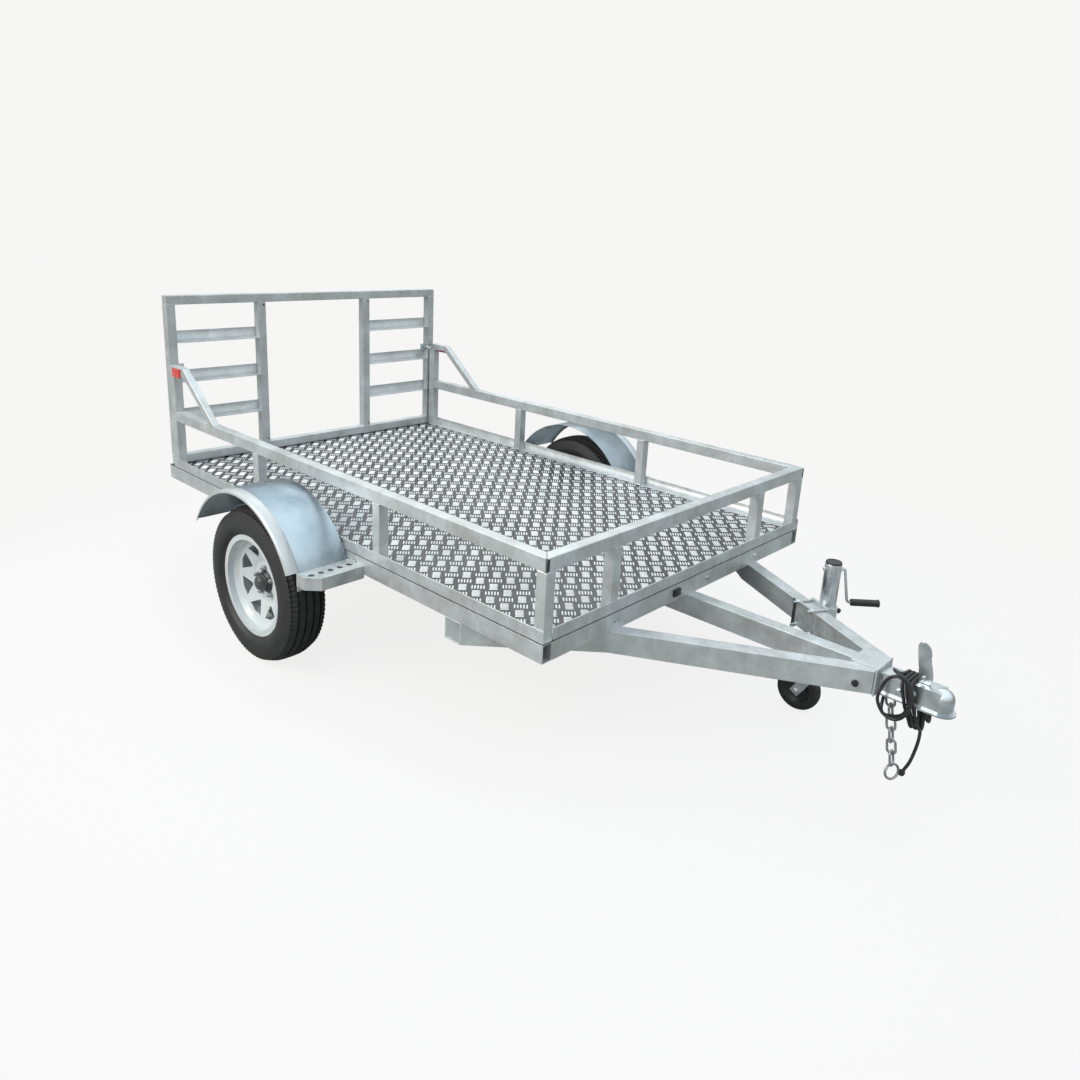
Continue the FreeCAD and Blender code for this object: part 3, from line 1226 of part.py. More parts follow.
def make_hinges():
    """Barrels on the chassis, and barrels with pins on the gate."""
    x = place_x("-hinge_back")
    z = value_of(CHASSIS_TOP) + value_of("hinge_rise")
    radius = value_of("hinge_radius")
    pin = value_of("hinge_pin_radius")
    length = value_of("knuckle_length")
    play = value_of("hinge_play")
    end_gap = value_of("knuckle_gap")
    middle = value_of(f"{HALF} - hinge_in")
    back = value_of("hinge_back")
    along = Vector(0, 1, 0)
    fixed = []
    moving = []
    for sign in (-1, 1):
        centre = Vector(x, sign * middle, z)
        start = centre - along * (length / 2)
        barrel = Part.makeCylinder(radius, length, start, along)
        tab = Part.makeBox(back, length, value_of("hinge_tab"), start + Vector(0, 0, -value_of("hinge_tab")))
        bore = Part.makeCylinder(pin + play, length, start, along)
        fixed.append(barrel.fuse(tab).cut(bore).removeSplitter())
        rod = Part.makeCylinder(pin, 3 * length + 2 * end_gap, start - along * (length + end_gap), along)
        for side in (-1, 1):
            at = start + along * (side * (length + end_gap))
            barrel = Part.makeCylinder(radius, length, at, along)
            leaf_plate = Part.makeBox(back, length, radius, at)
            rod = rod.fuse(barrel).fuse(leaf_plate)
        moving.append(rod.removeSplitter())
    node(shape_piece("fixed_barrels", Part.makeCompound(fixed)), "hinge_knuckles")

    thick = value_of("latch_thick")
    side = -value_of(f"{HALF} - gate_inset - gate_tube")
    level = value_of("latch_height")
    front = place_x("gate_tube")
    bolt = value_of("latch_bolt")
    housing = Part.makeBox(thick, 1.4 * thick, 1.5 * thick, Vector(front - 1.5 * thick, side, level))
    rod_start = Vector(front - thick, side + 2 * bolt, level + 0.75 * thick)
    rod = Part.makeCylinder(bolt, value_of("latch_reach") + thick, rod_start, Vector(1, 0, 0))
    latch = housing.fuse(rod).removeSplitter()
    latches = [latch, other_side(latch)]
    node(shape_piece("moving_barrels", Part.makeCompound(moving)), "gate_hinges")
    node(shape_piece("gate_bolts", Part.makeCompound(latches)), "gate_latches")


def make_rear_trim():
    """Tail lamps and a blank plate behind the chassis, and red reflectors on the braces."""
    deep = "lamp_deep"
    lamp = block("lamp", (deep, "lamp_width", "lamp_tall"),
                 (f"-{deep}", f"-{HALF} + lamp_in", f"{CHASSIS_TOP} - lamp_drop - lamp_tall"))
    node(group("lamps", lamp, mirrored("lamp_left", lamp)), "tail_lamps")
    node(block("plate", ("plate_thick", "plate_width", "plate_tall"),
               ("-plate_thick", "-plate_width / 2", f"{CHASSIS_TOP} - lamp_drop - plate_tall")), "number_plate")
    red = block("reflector", ("reflector_long", "reflector_thick", "reflector_size"),
                (f"{FRAME_REAR} + reflector_in", f"-{FRAME_SIDE} - reflector_thick",
                 "brace_height - reflector_size - reflector_thick"))
    node(group("reflectors", red, mirrored("reflector_left", red)), "side_reflectors")


make_chassis()
make_edge_angles()
make_top_rails()
make_posts()
make_braces()
make_drawbar()
make_coupling()
make_chain()
make_coil()
make_cable_end()
make_jockey_stand()
make_jockey_leg()
make_axle()
make_springs()
make_mudguards()
make_steps()
make_tyres()
make_wheel()
make_tailgate()
make_hinges()
make_rear_trim()

doc.recompute()

for thing in doc.Objects:
    if {"Invalid", "Error"} & set(thing.State):
        raise RuntimeError(f"{thing.Name} failed: {thing.State}")

os.makedirs("parts", exist_ok=True)
for piece in NODES:
    if piece.Shape.isNull() or not piece.Shape.isValid():
        raise RuntimeError(f"{piece.Label} has no valid shape")
    piece.Shape.exportStep(f"parts/{piece.Label}.step")
    box = piece.Shape.BoundBox
    spans = [f"{low:8.1f} {high:8.1f}" for low, high in ((box.XMin, box.XMax), (box.YMin, box.YMax),
                                                         (box.ZMin, box.ZMax))]
    print(f"{piece.Label:24s} solids {len(piece.Shape.Solids):3d} volume {piece.Shape.Volume / 1000:10.1f} cm3",
          *spans)
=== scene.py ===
"""Flatbed utility trailer: its finishes, fittings and studio, in metres."""

import json
import math
import random
from itertools import product

import bmesh
import bpy
from bpy.props import FloatProperty, FloatVectorProperty, IntProperty, PointerProperty
from mathutils import Matrix, Vector


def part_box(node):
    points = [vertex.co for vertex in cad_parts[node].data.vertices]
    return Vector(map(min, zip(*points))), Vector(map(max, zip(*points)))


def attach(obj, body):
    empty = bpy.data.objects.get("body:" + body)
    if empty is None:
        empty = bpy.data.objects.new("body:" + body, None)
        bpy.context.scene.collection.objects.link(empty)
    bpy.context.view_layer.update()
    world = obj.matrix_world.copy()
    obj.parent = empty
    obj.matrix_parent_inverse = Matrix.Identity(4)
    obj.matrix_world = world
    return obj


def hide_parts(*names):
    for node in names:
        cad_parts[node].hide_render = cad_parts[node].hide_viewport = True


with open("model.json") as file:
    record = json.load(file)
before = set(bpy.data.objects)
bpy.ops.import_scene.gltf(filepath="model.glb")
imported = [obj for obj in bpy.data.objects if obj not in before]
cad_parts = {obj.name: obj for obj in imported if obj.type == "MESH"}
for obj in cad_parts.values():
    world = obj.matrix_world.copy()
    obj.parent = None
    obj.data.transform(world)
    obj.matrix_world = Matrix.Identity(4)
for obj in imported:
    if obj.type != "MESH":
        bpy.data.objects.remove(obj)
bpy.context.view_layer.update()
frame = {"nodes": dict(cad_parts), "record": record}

bl_info = {
    "name": "Flatbed Utility Trailer",
    "version": (1, 0, 0),
    "blender": (4, 5, 0),
    "location": "3D View > Sidebar > Trailer",
    "description": "Builds a galvanised flatbed trailer with its wheels, gate, drawbar and studio",
    "category": "Object",
}

# Driving places and sizes, in metres.
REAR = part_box("deck_plate")[0][0]
TYRE_RADIUS = 0.297
TRACK_HALF = 0.905
AXLE = Vector((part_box("tyre_right")[0][0] + TYRE_RADIUS, 0, TYRE_RADIUS))

# The trailer's right and left, as signs of y.
SIDES = (-1, 1)

# Points closer together than this, in metres, are one point.
MERGE = 1e-6


def from_rear(x, y, z):
    """A point in the trailer's frame from millimetres counted from the chassis's rear face."""
    return Vector((REAR + x / 1000, y / 1000, z / 1000))


# Finishes


def new_group(name, inputs, outputs):
    """An empty shader node group with named sockets: (name, kind, default)."""
    group = bpy.data.node_groups.new(name, "ShaderNodeTree")
    for label, kind, default in inputs:
        socket = group.interface.new_socket(label, in_out="INPUT", socket_type=kind)
        socket.default_value = default
    for label, kind in outputs:
        group.interface.new_socket(label, in_out="OUTPUT", socket_type=kind)
    return group


class Wiring:
    """Adds nodes to a tree and links them."""

    def __init__(self, tree):
        self.tree = tree

    def add(self, kind, links=None, **values):
        """A node with its properties set, and its inputs either wired to a socket or given a level."""
        made = self.tree.nodes.new(kind)
        for key, value in values.items():
            setattr(made, key, value)
        for key, value in (links or {}).items():
            socket = made.inputs[key]
            if isinstance(value, bpy.types.NodeSocket):
                self.tree.links.new(value, socket)
            else:
                socket.default_value = value
        return made

    def math(self, operation, first, second, clamp=False):
        made = self.add("ShaderNodeMath", {0: first, 1: second}, operation=operation, use_clamp=clamp)
        return made.outputs[0]

    def mix(self, factor, first, second):
        made = self.add("ShaderNodeMix", {0: factor, 6: first, 7: second}, data_type="RGBA", clamp_factor=True)
        return made.outputs[2]

    def noise(self, place, scale, detail=4.0, roughness=0.55):
        made = self.add("ShaderNodeTexNoise", {"Vector": place, "Scale": scale, "Detail": detail,
                                               "Roughness": roughness})
        return made.outputs["Fac"]

    def ramp(self, value, low, high, out_low=0.0, out_high=1.0):
        """A value's range, low to high, stretched to another and held at its ends."""
        made = self.add("ShaderNodeMapRange", {"Value": value, "From Min": low, "From Max": high,
                                               "To Min": out_low, "To Max": out_high}, clamp=True)
        return made.outputs[0]


def zinc_group():
    """Hot-dip zinc: cloudy patches, faint crystal facets and pale runs."""
    group = new_group("Zinc Bloom", [
        ("Place", "NodeSocketVector", (0, 0, 0)), ("Bright", "NodeSocketColor", (0.8, 0.82, 0.84, 1)),
        ("Dull", "NodeSocketColor", (0.55, 0.57, 0.58, 1)), ("Patch Size", "NodeSocketFloat", 9.0),
        ("Crystals", "NodeSocketFloat", 0.25)],
        [("Color", "NodeSocketColor"), ("Roughness", "NodeSocketFloat"), ("Height", "NodeSocketFloat")])
    w = Wiring(group)
    given = w.add("NodeGroupInput")
    place = given.outputs["Place"]
    cloud = w.noise(place, given.outputs["Patch Size"], 6.0, 0.62)
    upright = w.add("ShaderNodeVectorMath", {0: place, 1: (24.0, 24.0, 3.5)}, operation="MULTIPLY").outputs[0]
    runs = w.noise(upright, 1.0, 3.0)
    facets = w.add("ShaderNodeTexVoronoi", {"Vector": place, "Scale": 70.0}, feature="F1")
    facet = w.add("ShaderNodeSeparateColor", {0: facets.outputs["Color"]}).outputs[0]
    blend = w.math("ADD", w.ramp(cloud, 0.32, 0.68), w.math("MULTIPLY", w.math("SUBTRACT", facet, 0.5),
                                                           given.outputs["Crystals"]), clamp=True)
    streak = w.math("MULTIPLY", w.ramp(runs, 0.56, 0.74), 0.35)
    tone = w.mix(w.math("ADD", blend, streak, clamp=True), given.outputs["Dull"], given.outputs["Bright"])
    mottle = w.math("ADD", w.math("MULTIPLY", cloud, 0.7), w.math("MULTIPLY", facet, 0.3))
    rough = w.ramp(mottle, 0.2, 0.8, 0.30, 0.52)
    fine = w.noise(place, 260.0, 2.0)
    height = w.math("ADD", w.math("MULTIPLY", runs, 0.5), w.math("MULTIPLY", fine, 0.5))
    w.add("NodeGroupOutput", {"Color": tone, "Roughness": rough, "Height": height})
    return group


def dust_group():
    """Pale road dust lying over a dark finish."""
    group = new_group("Road Dust", [
        ("Place", "NodeSocketVector", (0, 0, 0)), ("Clean", "NodeSocketColor", (0.02, 0.02, 0.02, 1)),
        ("Dust", "NodeSocketColor", (0.35, 0.33, 0.30, 1)), ("Amount", "NodeSocketFloat", 0.2),
        ("Grain", "NodeSocketFloat", 40.0)],
        [("Color", "NodeSocketColor"), ("Mask", "NodeSocketFloat"), ("Height", "NodeSocketFloat")])
    w = Wiring(group)
    given = w.add("NodeGroupInput")
    place = given.outputs["Place"]
    coarse = w.noise(place, 14.0, 6.0, 0.65)
    fine = w.noise(place, given.outputs["Grain"], 5.0, 0.7)
    cover = w.ramp(w.math("ADD", w.math("MULTIPLY", coarse, 0.6), w.math("MULTIPLY", fine, 0.4)), 0.42, 0.7)
    mask = w.math("MULTIPLY", cover, given.outputs["Amount"])
    tone = w.mix(mask, given.outputs["Clean"], given.outputs["Dust"])
    w.add("NodeGroupOutput", {"Color": tone, "Mask": mask, "Height": fine})
    return group


# Finished materials by name.
MADE = {}


def finish(name):
    """A finished material by its name."""
    return MADE[name]


def start_material(name, **levels):
    """A new material: its wiring, its shader with plain levels set, and the object's own coordinates."""
    material = bpy.data.materials.new(name)
    material.use_nodes = True
    MADE[name] = material
    w = Wiring(material.node_tree)
    shader = material.node_tree.nodes["Principled BSDF"]
    for label, level in levels.items():
        shader.inputs[label.replace("_", " ").title()].default_value = level
    return w, shader, w.add("ShaderNodeTexCoord").outputs["Object"]


def join_material(w, shader, color, roughness, height, strength, distance):
    """Wires colour, roughness and a bump of some strength and depth (m) into a shader."""
    bump = w.add("ShaderNodeBump", {"Height": height, "Strength": strength, "Distance": distance})
    for value, label in ((color, "Base Color"), (roughness, "Roughness"), (bump.outputs[0], "Normal")):
        w.tree.links.new(value, shader.inputs[label])


class Finishes:
    """Makes the trailer's materials."""

    def __init__(self):
        self.zinc_bloom = zinc_group()
        self.road_dust = dust_group()

    def zinc(self, name, bright, dull, metallic, patch=9.0, crystals=0.25, strength=0.15, smoothing=0.0):
        """Galvanised metal between two tones."""
        w, shader, place = start_material(name, metallic=metallic)
        bloom = w.add("ShaderNodeGroup", {"Place": place, "Bright": (*bright, 1), "Dull": (*dull, 1),
                                          "Patch Size": patch, "Crystals": crystals}, node_tree=self.zinc_bloom)
        rough = w.math("SUBTRACT", bloom.outputs["Roughness"], smoothing)
        join_material(w, shader, bloom.outputs["Color"], rough, bloom.outputs["Height"], strength, 0.0006)

    def dusty(self, name, clean, dust, amount, roughness, grain=40.0, metallic=0.0, strength=0.25):
        """A dark finish under some dust."""
        w, shader, place = start_material(name, metallic=metallic)
        road = w.add("ShaderNodeGroup", {"Place": place, "Clean": (*clean, 1), "Dust": (*dust, 1),
                                         "Amount": amount, "Grain": grain}, node_tree=self.road_dust)
        rough = w.ramp(road.outputs["Mask"], 0.0, 1.0, roughness, min(1.0, roughness + 0.35))
        join_material(w, shader, road.outputs["Color"], rough, road.outputs["Height"], strength, 0.0004)

    def glossy(self, name, tone, accent, roughness, scale=30.0, coat=0.4):
        """Paint or moulded plastic with a faint unevenness."""
        w, shader, place = start_material(name, coat_weight=coat)
        haze = w.noise(place, scale)
        color = w.mix(w.ramp(haze, 0.4, 0.75), (*tone, 1), (*accent, 1))
        rough = w.ramp(haze, 0.3, 0.7, roughness, roughness + 0.12)
        join_material(w, shader, color, rough, w.noise(place, 180.0, 2.0), 0.05, 0.0003)

    def plated(self, name, tone, accent, roughness, metallic, scale=8.0):
        """Smooth bright metal with broad soft clouds and no crystals."""
        w, shader, place = start_material(name, metallic=metallic)
        haze = w.noise(place, scale, 3.0, 0.5)
        color = w.mix(w.ramp(haze, 0.35, 0.65), (*tone, 1), (*accent, 1))
        rough = w.ramp(haze, 0.3, 0.7, roughness, roughness + 0.10)
        join_material(w, shader, color, rough, w.noise(place, 420.0, 2.0), 0.03, 0.0002)

    def weld(self, name):
        """Weld beads: silver, bright and dull in patches, with coarse ripples."""
        w, shader, place = start_material(name, metallic=0.6)
        ripple = w.noise(place, 320.0, 3.0)
        tint = w.ramp(w.noise(place, 60.0, 3.0), 0.35, 0.7)
        color = w.mix(tint, (0.62, 0.64, 0.66, 1), (0.86, 0.88, 0.9, 1))
        join_material(w, shader, color, w.ramp(ripple, 0.3, 0.7, 0.3, 0.55), ripple, 0.5, 0.001)

    def lamp_lens(self, name, tone):
        """Moulded lens with fine upright flutes."""
        w, shader, place = start_material(name, coat_weight=0.8)
        wave = w.add("ShaderNodeTexWave", {"Vector": place, "Scale": 60.0, "Distortion": 0.0},
                     wave_type="BANDS", bands_direction="Y", wave_profile="SIN").outputs["Fac"]
        color = w.mix(w.ramp(wave, 0.2, 0.9), (*[part * 0.6 for part in tone], 1), (*tone, 1))
        join_material(w, shader, color, w.ramp(wave, 0, 1, 0.12, 0.2), wave, 0.4, 0.0008)

    def make_all(self, colours):
        """Every finish that the trailer's pieces name."""
        rubber, jacket, rim = tuple(colours.rubber), tuple(colours.cable), tuple(colours.rim)
        self.zinc("Galvanised Steel", tuple(colours.zinc_bright), tuple(colours.zinc_dull), 0.6)
        self.plated("Galvanised Sheet", (0.27, 0.33, 0.38), (0.50, 0.57, 0.62), 0.24, 0.9, 5.0)
        # Lighter, less metallic copy of the sheet for the rolled bead: painted highlight along the lip.
        self.plated("Rolled Bead Highlight", (0.52, 0.54, 0.55), (0.62, 0.64, 0.65), 0.30, 0.5)
        self.plated("Bright Zinc", (0.52, 0.56, 0.59), (0.82, 0.84, 0.85), 0.24, 0.95, 16.0)
        self.zinc("Chain Zinc", (0.50, 0.51, 0.52), (0.28, 0.28, 0.29), 0.8, 60.0, 0.1, 0.2)
        # Raised bars are brighter than the frame's zinc as painted highlight of their glinting tops; the plate
        # between them is near-black as painted shade between the bars.
        self.zinc("Tread Bars", (0.86, 0.87, 0.88), (0.66, 0.68, 0.69), 0.3, 7.0, 0.1, 0.05)
        self.zinc("Tread Ground Painted Shade", (0.105, 0.108, 0.116), (0.035, 0.035, 0.04), 0.5, 3.0, 0.15, 0.2)
        self.weld("Weld Bead")
        self.dusty("Tyre Rubber", rubber, (0.16, 0.155, 0.14), 0.10, 0.55, 90.0, 0.0, 0.35)
        self.dusty("Castor Rubber", (0.014, 0.014, 0.014), (0.20, 0.19, 0.18), 0.15, 0.5, 60.0)
        self.dusty("Cable Jacket", jacket, (0.22, 0.21, 0.2), 0.12, 0.34, 80.0, 0.0, 0.12)
        self.dusty("Black Plastic", (0.014, 0.014, 0.015), (0.20, 0.20, 0.19), 0.12, 0.38, 50.0)
        self.dusty("Black Axle Paint", (0.018, 0.018, 0.02), (0.20, 0.19, 0.17), 0.15, 0.4, 30.0)
        self.dusty("Hub Cap Grey", (0.07, 0.07, 0.075), (0.33, 0.32, 0.3), 0.2, 0.35, 40.0, 0.3)
        # Near-black finish that is painted shade in open tube ends, vent holes and slots; its pale grain only
        # mottles the shade.
        self.dusty("Open Tube", (0.012, 0.014, 0.017), (0.05, 0.05, 0.05), 0.4, 0.8)
        self.glossy("White Rim Paint", rim, (0.55, 0.58, 0.60), 0.22)
        self.glossy("Plate White", (0.86, 0.86, 0.85), (0.82, 0.82, 0.80), 0.4, 20.0, 0.1)
        self.lamp_lens("Red Lens", (0.62, 0.02, 0.015))
        self.lamp_lens("Amber Lens", (0.85, 0.32, 0.02))
        self.lamp_lens("Red Reflector", (0.70, 0.03, 0.02))


# Mesh building


def close_mesh(name, bm, recalc=True):
    """Ends a bmesh as a mesh."""
    if recalc:
        bmesh.ops.recalc_face_normals(bm, faces=bm.faces)
    mesh = bpy.data.meshes.new(name)
    bm.to_mesh(mesh)
    bm.free()
    return mesh


def add_piece(name, shape, material, body, smooth=None, stands_for=()):
    """Links a mesh or bmesh as a piece on a body; stands_for lists the nodes that it replaces."""
    mesh = close_mesh(name, shape) if isinstance(shape, bmesh.types.BMesh) else shape
    piece = bpy.data.objects.new(name, mesh)
    bpy.context.scene.collection.objects.link(piece)
    for one in material if isinstance(material, list) else [material]:
        mesh.materials.append(finish(one))
    if smooth is not None:
        for face in mesh.polygons:
            face.use_smooth = True
        mesh.set_sharp_from_angle(angle=math.radians(smooth))
    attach(piece, body)
    if stands_for:
        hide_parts(*stands_for)
    return piece


def facing(axis):
    """The turn that takes +Z to an axis."""
    return Vector((0, 0, 1)).rotation_difference(Vector(axis).normalized()).to_matrix().to_4x4()


def add_turned(bm, at, axis, profile, sides=24, start=0.0):
    """A turned solid from (distance along axis, radius) pairs; ends on the axis are closed."""
    turn = Matrix.Translation(at) @ facing(axis)
    rings = []
    for along, radius in profile:
        if radius < MERGE:
            rings.append([bm.verts.new(turn @ Vector((0, 0, along)))])
            continue
        ring = []
        for step in range(sides):
            angle = start + 2 * math.pi * step / sides
            x, y = radius * math.cos(angle), radius * math.sin(angle)
            ring.append(bm.verts.new(turn @ Vector((x, y, along))))
        rings.append(ring)
    for first, second in zip(rings, rings[1:]):
        for step in range(sides):
            corners = [first[step % len(first)], first[(step + 1) % len(first)],
                       second[(step + 1) % len(second)], second[step % len(second)]]
            corners = list(dict.fromkeys(corners))
            if len(corners) > 2:
                bm.faces.new(corners)


def add_ring(bm, at, axis, profile, sides, start=0.0):
    """A turned solid with a hole through it: the profile closes on itself."""
    add_turned(bm, at, axis, profile + profile[:1], sides, start)
    bmesh.ops.remove_doubles(bm, verts=bm.verts, dist=MERGE)


def add_bolt(bm, at, axis, size, tall=None):
    """A hexagon head with a chamfer and a washer, standing on a face."""
    tall = tall or size * 0.65
    lift = size * 0.16
    add_turned(bm, at, axis, [(0, 0), (0, size * 1.12), (lift * 0.8, size * 1.12), (lift, size * 1.02),
                              (lift, 0)], 20)
    across = size / math.cos(math.pi / 6) * 0.92
    add_turned(bm, at, axis, [(lift, 0), (lift, across), (lift + tall * 0.82, across),
                              (lift + tall, size * 0.78), (lift + tall, 0)], 6)


def add_stud(bm, at, axis, radius, length):
    """A threaded end with its thread as rings."""
    pitch = 0.0016
    root = radius * 0.86
    rings = [(0, 0), (0, radius)]
    count = max(2, int(length / pitch))
    for step in range(count):
        base = length * step / count
        rings += [(base + pitch * 0.25, radius), (base + pitch * 0.75, root)]
    add_turned(bm, at, axis, rings + [(length, root), (length, 0)], 14)


def add_swept(bm, points, radii, sides=10, closed=False):
    """A round bar along points, keeping its twist steady; radii is one value or one for each point."""
    count = len(points)
    sizes = radii if isinstance(radii, list) else [radii] * count
    rings = []
    side = None
    for index, point in enumerate(points):
        if closed:
            heading = points[(index + 1) % count] - points[index - 1]
        else:
            heading = points[min(index + 1, count - 1)] - points[max(index - 1, 0)]
        heading.normalize()
        if side is None:
            side = heading.orthogonal().normalized()
        side = (side - heading * side.dot(heading)).normalized()
        other = heading.cross(side)
        ring = []
        for step in range(sides):
            angle = 2 * math.pi * step / sides
            reach = side * math.cos(angle) + other * math.sin(angle)
            ring.append(bm.verts.new(point + reach * sizes[index]))
        rings.append(ring)
    pairs = list(zip(rings, rings[1:]))
    if closed:
        first = min(range(sides), key=lambda step: (rings[0][step].co - rings[-1][0].co).length)
        pairs.append((rings[-1], rings[0][first:] + rings[0][:first]))
    for low, high in pairs:
        for step in range(sides):
            after = (step + 1) % sides
            bm.faces.new([low[step], low[after], high[after], high[step]])
    if not closed:
        bm.faces.new(rings[0][::-1])
        bm.faces.new(rings[-1])


def add_block(bm, low, high, bevel=0.0, material=0):
    """A box between two corners, its edges rounded by bevel."""
    made = bmesh.ops.create_cube(bm, size=1.0)["verts"]
    size = Vector(high) - Vector(low)
    middle = (Vector(high) + Vector(low)) / 2
    for vert in made:
        vert.co = Vector(part * length for part, length in zip(vert.co, size)) + middle
    faces = {face for vert in made for face in vert.link_faces}
    for face in faces:
        face.material_index = material
    if bevel:
        edges = list({edge for vert in made for edge in vert.link_edges})
        bmesh.ops.bevel(bm, geom=edges, offset=bevel, segments=2, profile=0.6, affect="EDGES",
                        clamp_overlap=True)


def add_block_pair(bm, low, high, bevel=0.0, material=0):
    """A box on the trailer's left, and its mirror image on the right."""
    for side in SIDES:
        ends = sorted((side * low[1], side * high[1]))
        add_block(bm, (low[0], ends[0], low[2]), (high[0], ends[1], high[2]), bevel, material)


def body_of_node(node):
    """The body that a node rides on."""
    bodies = frame["record"]["behaviour"]["bodies"]
    return next(body for body, nodes in bodies.items() if node in nodes)


def middle_of(node):
    """The middle of a node's box."""
    low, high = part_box(node)
    return (Vector(low) + Vector(high)) / 2


def softened(node, material, width):
    """A copy of a node's solid with its outer edges rounded as rolled tube and bent plate have them."""
    flat_angle, edge_angle = 0.01, 0.6
    source = frame["nodes"][node]
    bm = bmesh.new()
    bm.from_mesh(source.data)
    bm.transform(source.matrix_world)
    bmesh.ops.remove_doubles(bm, verts=bm.verts, dist=MERGE)
    bmesh.ops.dissolve_limit(bm, angle_limit=flat_angle, verts=bm.verts, edges=bm.edges)
    bm.normal_update()
    edges = [edge for edge in bm.edges
             if len(edge.link_faces) == 2 and edge.calc_face_angle(0.0) > edge_angle and edge.is_convex]
    bmesh.ops.bevel(bm, geom=edges, offset=width, segments=2, profile=0.5, affect="EDGES", clamp_overlap=True)
    mesh = close_mesh(f"{node}_rounded", bm, False)
    piece = add_piece(f"{node}_rounded", mesh, material, body_of_node(node), 40, [node])
    piece.modifiers.new("Flat faces", "WEIGHTED_NORMAL").keep_sharp = True


def dress(node, material):
    """A node whose shape is right gets its finish."""
    item = frame["nodes"][node]
    item.data.materials.clear()
    item.data.materials.append(finish(material))


# Sizes and colours


def colour_setting(name, description, default):
    """A colour in the panel."""
    return FloatVectorProperty(name=name, description=description, default=default, subtype="COLOR",
                               min=0, max=1)


def length_setting(name, description, default, least):
    """A length in the panel, in metres."""
    return FloatProperty(name=name, description=description, default=default, unit="LENGTH", min=least)


class TrailerFinish(bpy.types.PropertyGroup):
    """Colours of the trailer's finishes."""

    zinc_bright: colour_setting("Bright zinc", "Galvanising where it is bright", (0.66, 0.69, 0.71))
    zinc_dull: colour_setting("Dull zinc", "Galvanising where it is dull", (0.47, 0.48, 0.475))
    rubber: colour_setting("Tyre rubber", "Colour of the tyres", (0.016, 0.016, 0.017))
    cable: colour_setting("Cable jacket", "Colour of the cable", (0.012, 0.012, 0.013))
    rim: colour_setting("Rim paint", "Colour of the wheel rims", (0.60, 0.64, 0.66))


class TrailerDeck(bpy.types.PropertyGroup):
    """Raised bars of the chequer plate."""

    pitch_x: length_setting("Pitch along", "Bundle pitch along the trailer", 0.0655, 0.02)
    pitch_y: length_setting("Pitch across", "Bundle pitch across the trailer", 0.0785, 0.02)
    bar_length: length_setting("Bar length", "Length of a raised bar", 0.030, 0.005)
    bar_width: length_setting("Bar width", "Width of a raised bar", 0.0056, 0.001)
    bar_pitch: length_setting("Bar pitch", "Spacing of the bars in a bundle", 0.0098, 0.002)
    bar_height: length_setting("Bar height", "Height of a raised bar", 0.0016, 0.0002)
    bars: IntProperty(name="Bars", description="Bars in a bundle", default=5, min=1, max=9)


class TrailerTyre(bpy.types.PropertyGroup):
    """Tread of the road tyres."""

    groove_depth: length_setting("Groove depth", "Depth of the long grooves", 0.0085, 0.001)
    groove_width: length_setting("Groove width", "Width of the long grooves", 0.008, 0.002)
    sipes: IntProperty(name="Sipes", description="Cross cuts round the tyre", default=94, min=8, max=120)


class TrailerCable(bpy.types.PropertyGroup):
    """The electric cable coiled round the coupling's neck."""

    diameter: length_setting("Diameter", "Cable diameter", 0.01, 0.003)
    turns: IntProperty(name="Turns", description="Turns round the neck", default=3, min=1, max=6)
    spacing: length_setting("Spacing", "Turn to turn spacing", 0.0125, 0.003)


class TrailerStage(bpy.types.PropertyGroup):
    """Light and floor of the studio."""

    floor: colour_setting("Floor", "Colour of the floor", (0.92, 0.92, 0.915))
    sky: FloatProperty(name="Sky", description="Strength of the soft light from above", default=1.45, min=0)
    horizon: FloatProperty(name="Horizon", description="Strength of the light from the sides", default=0.26,
                           min=0)
    key: FloatProperty(name="Key lamp", description="Power of the large lamp in watts", default=215.0, min=0)


# Stage


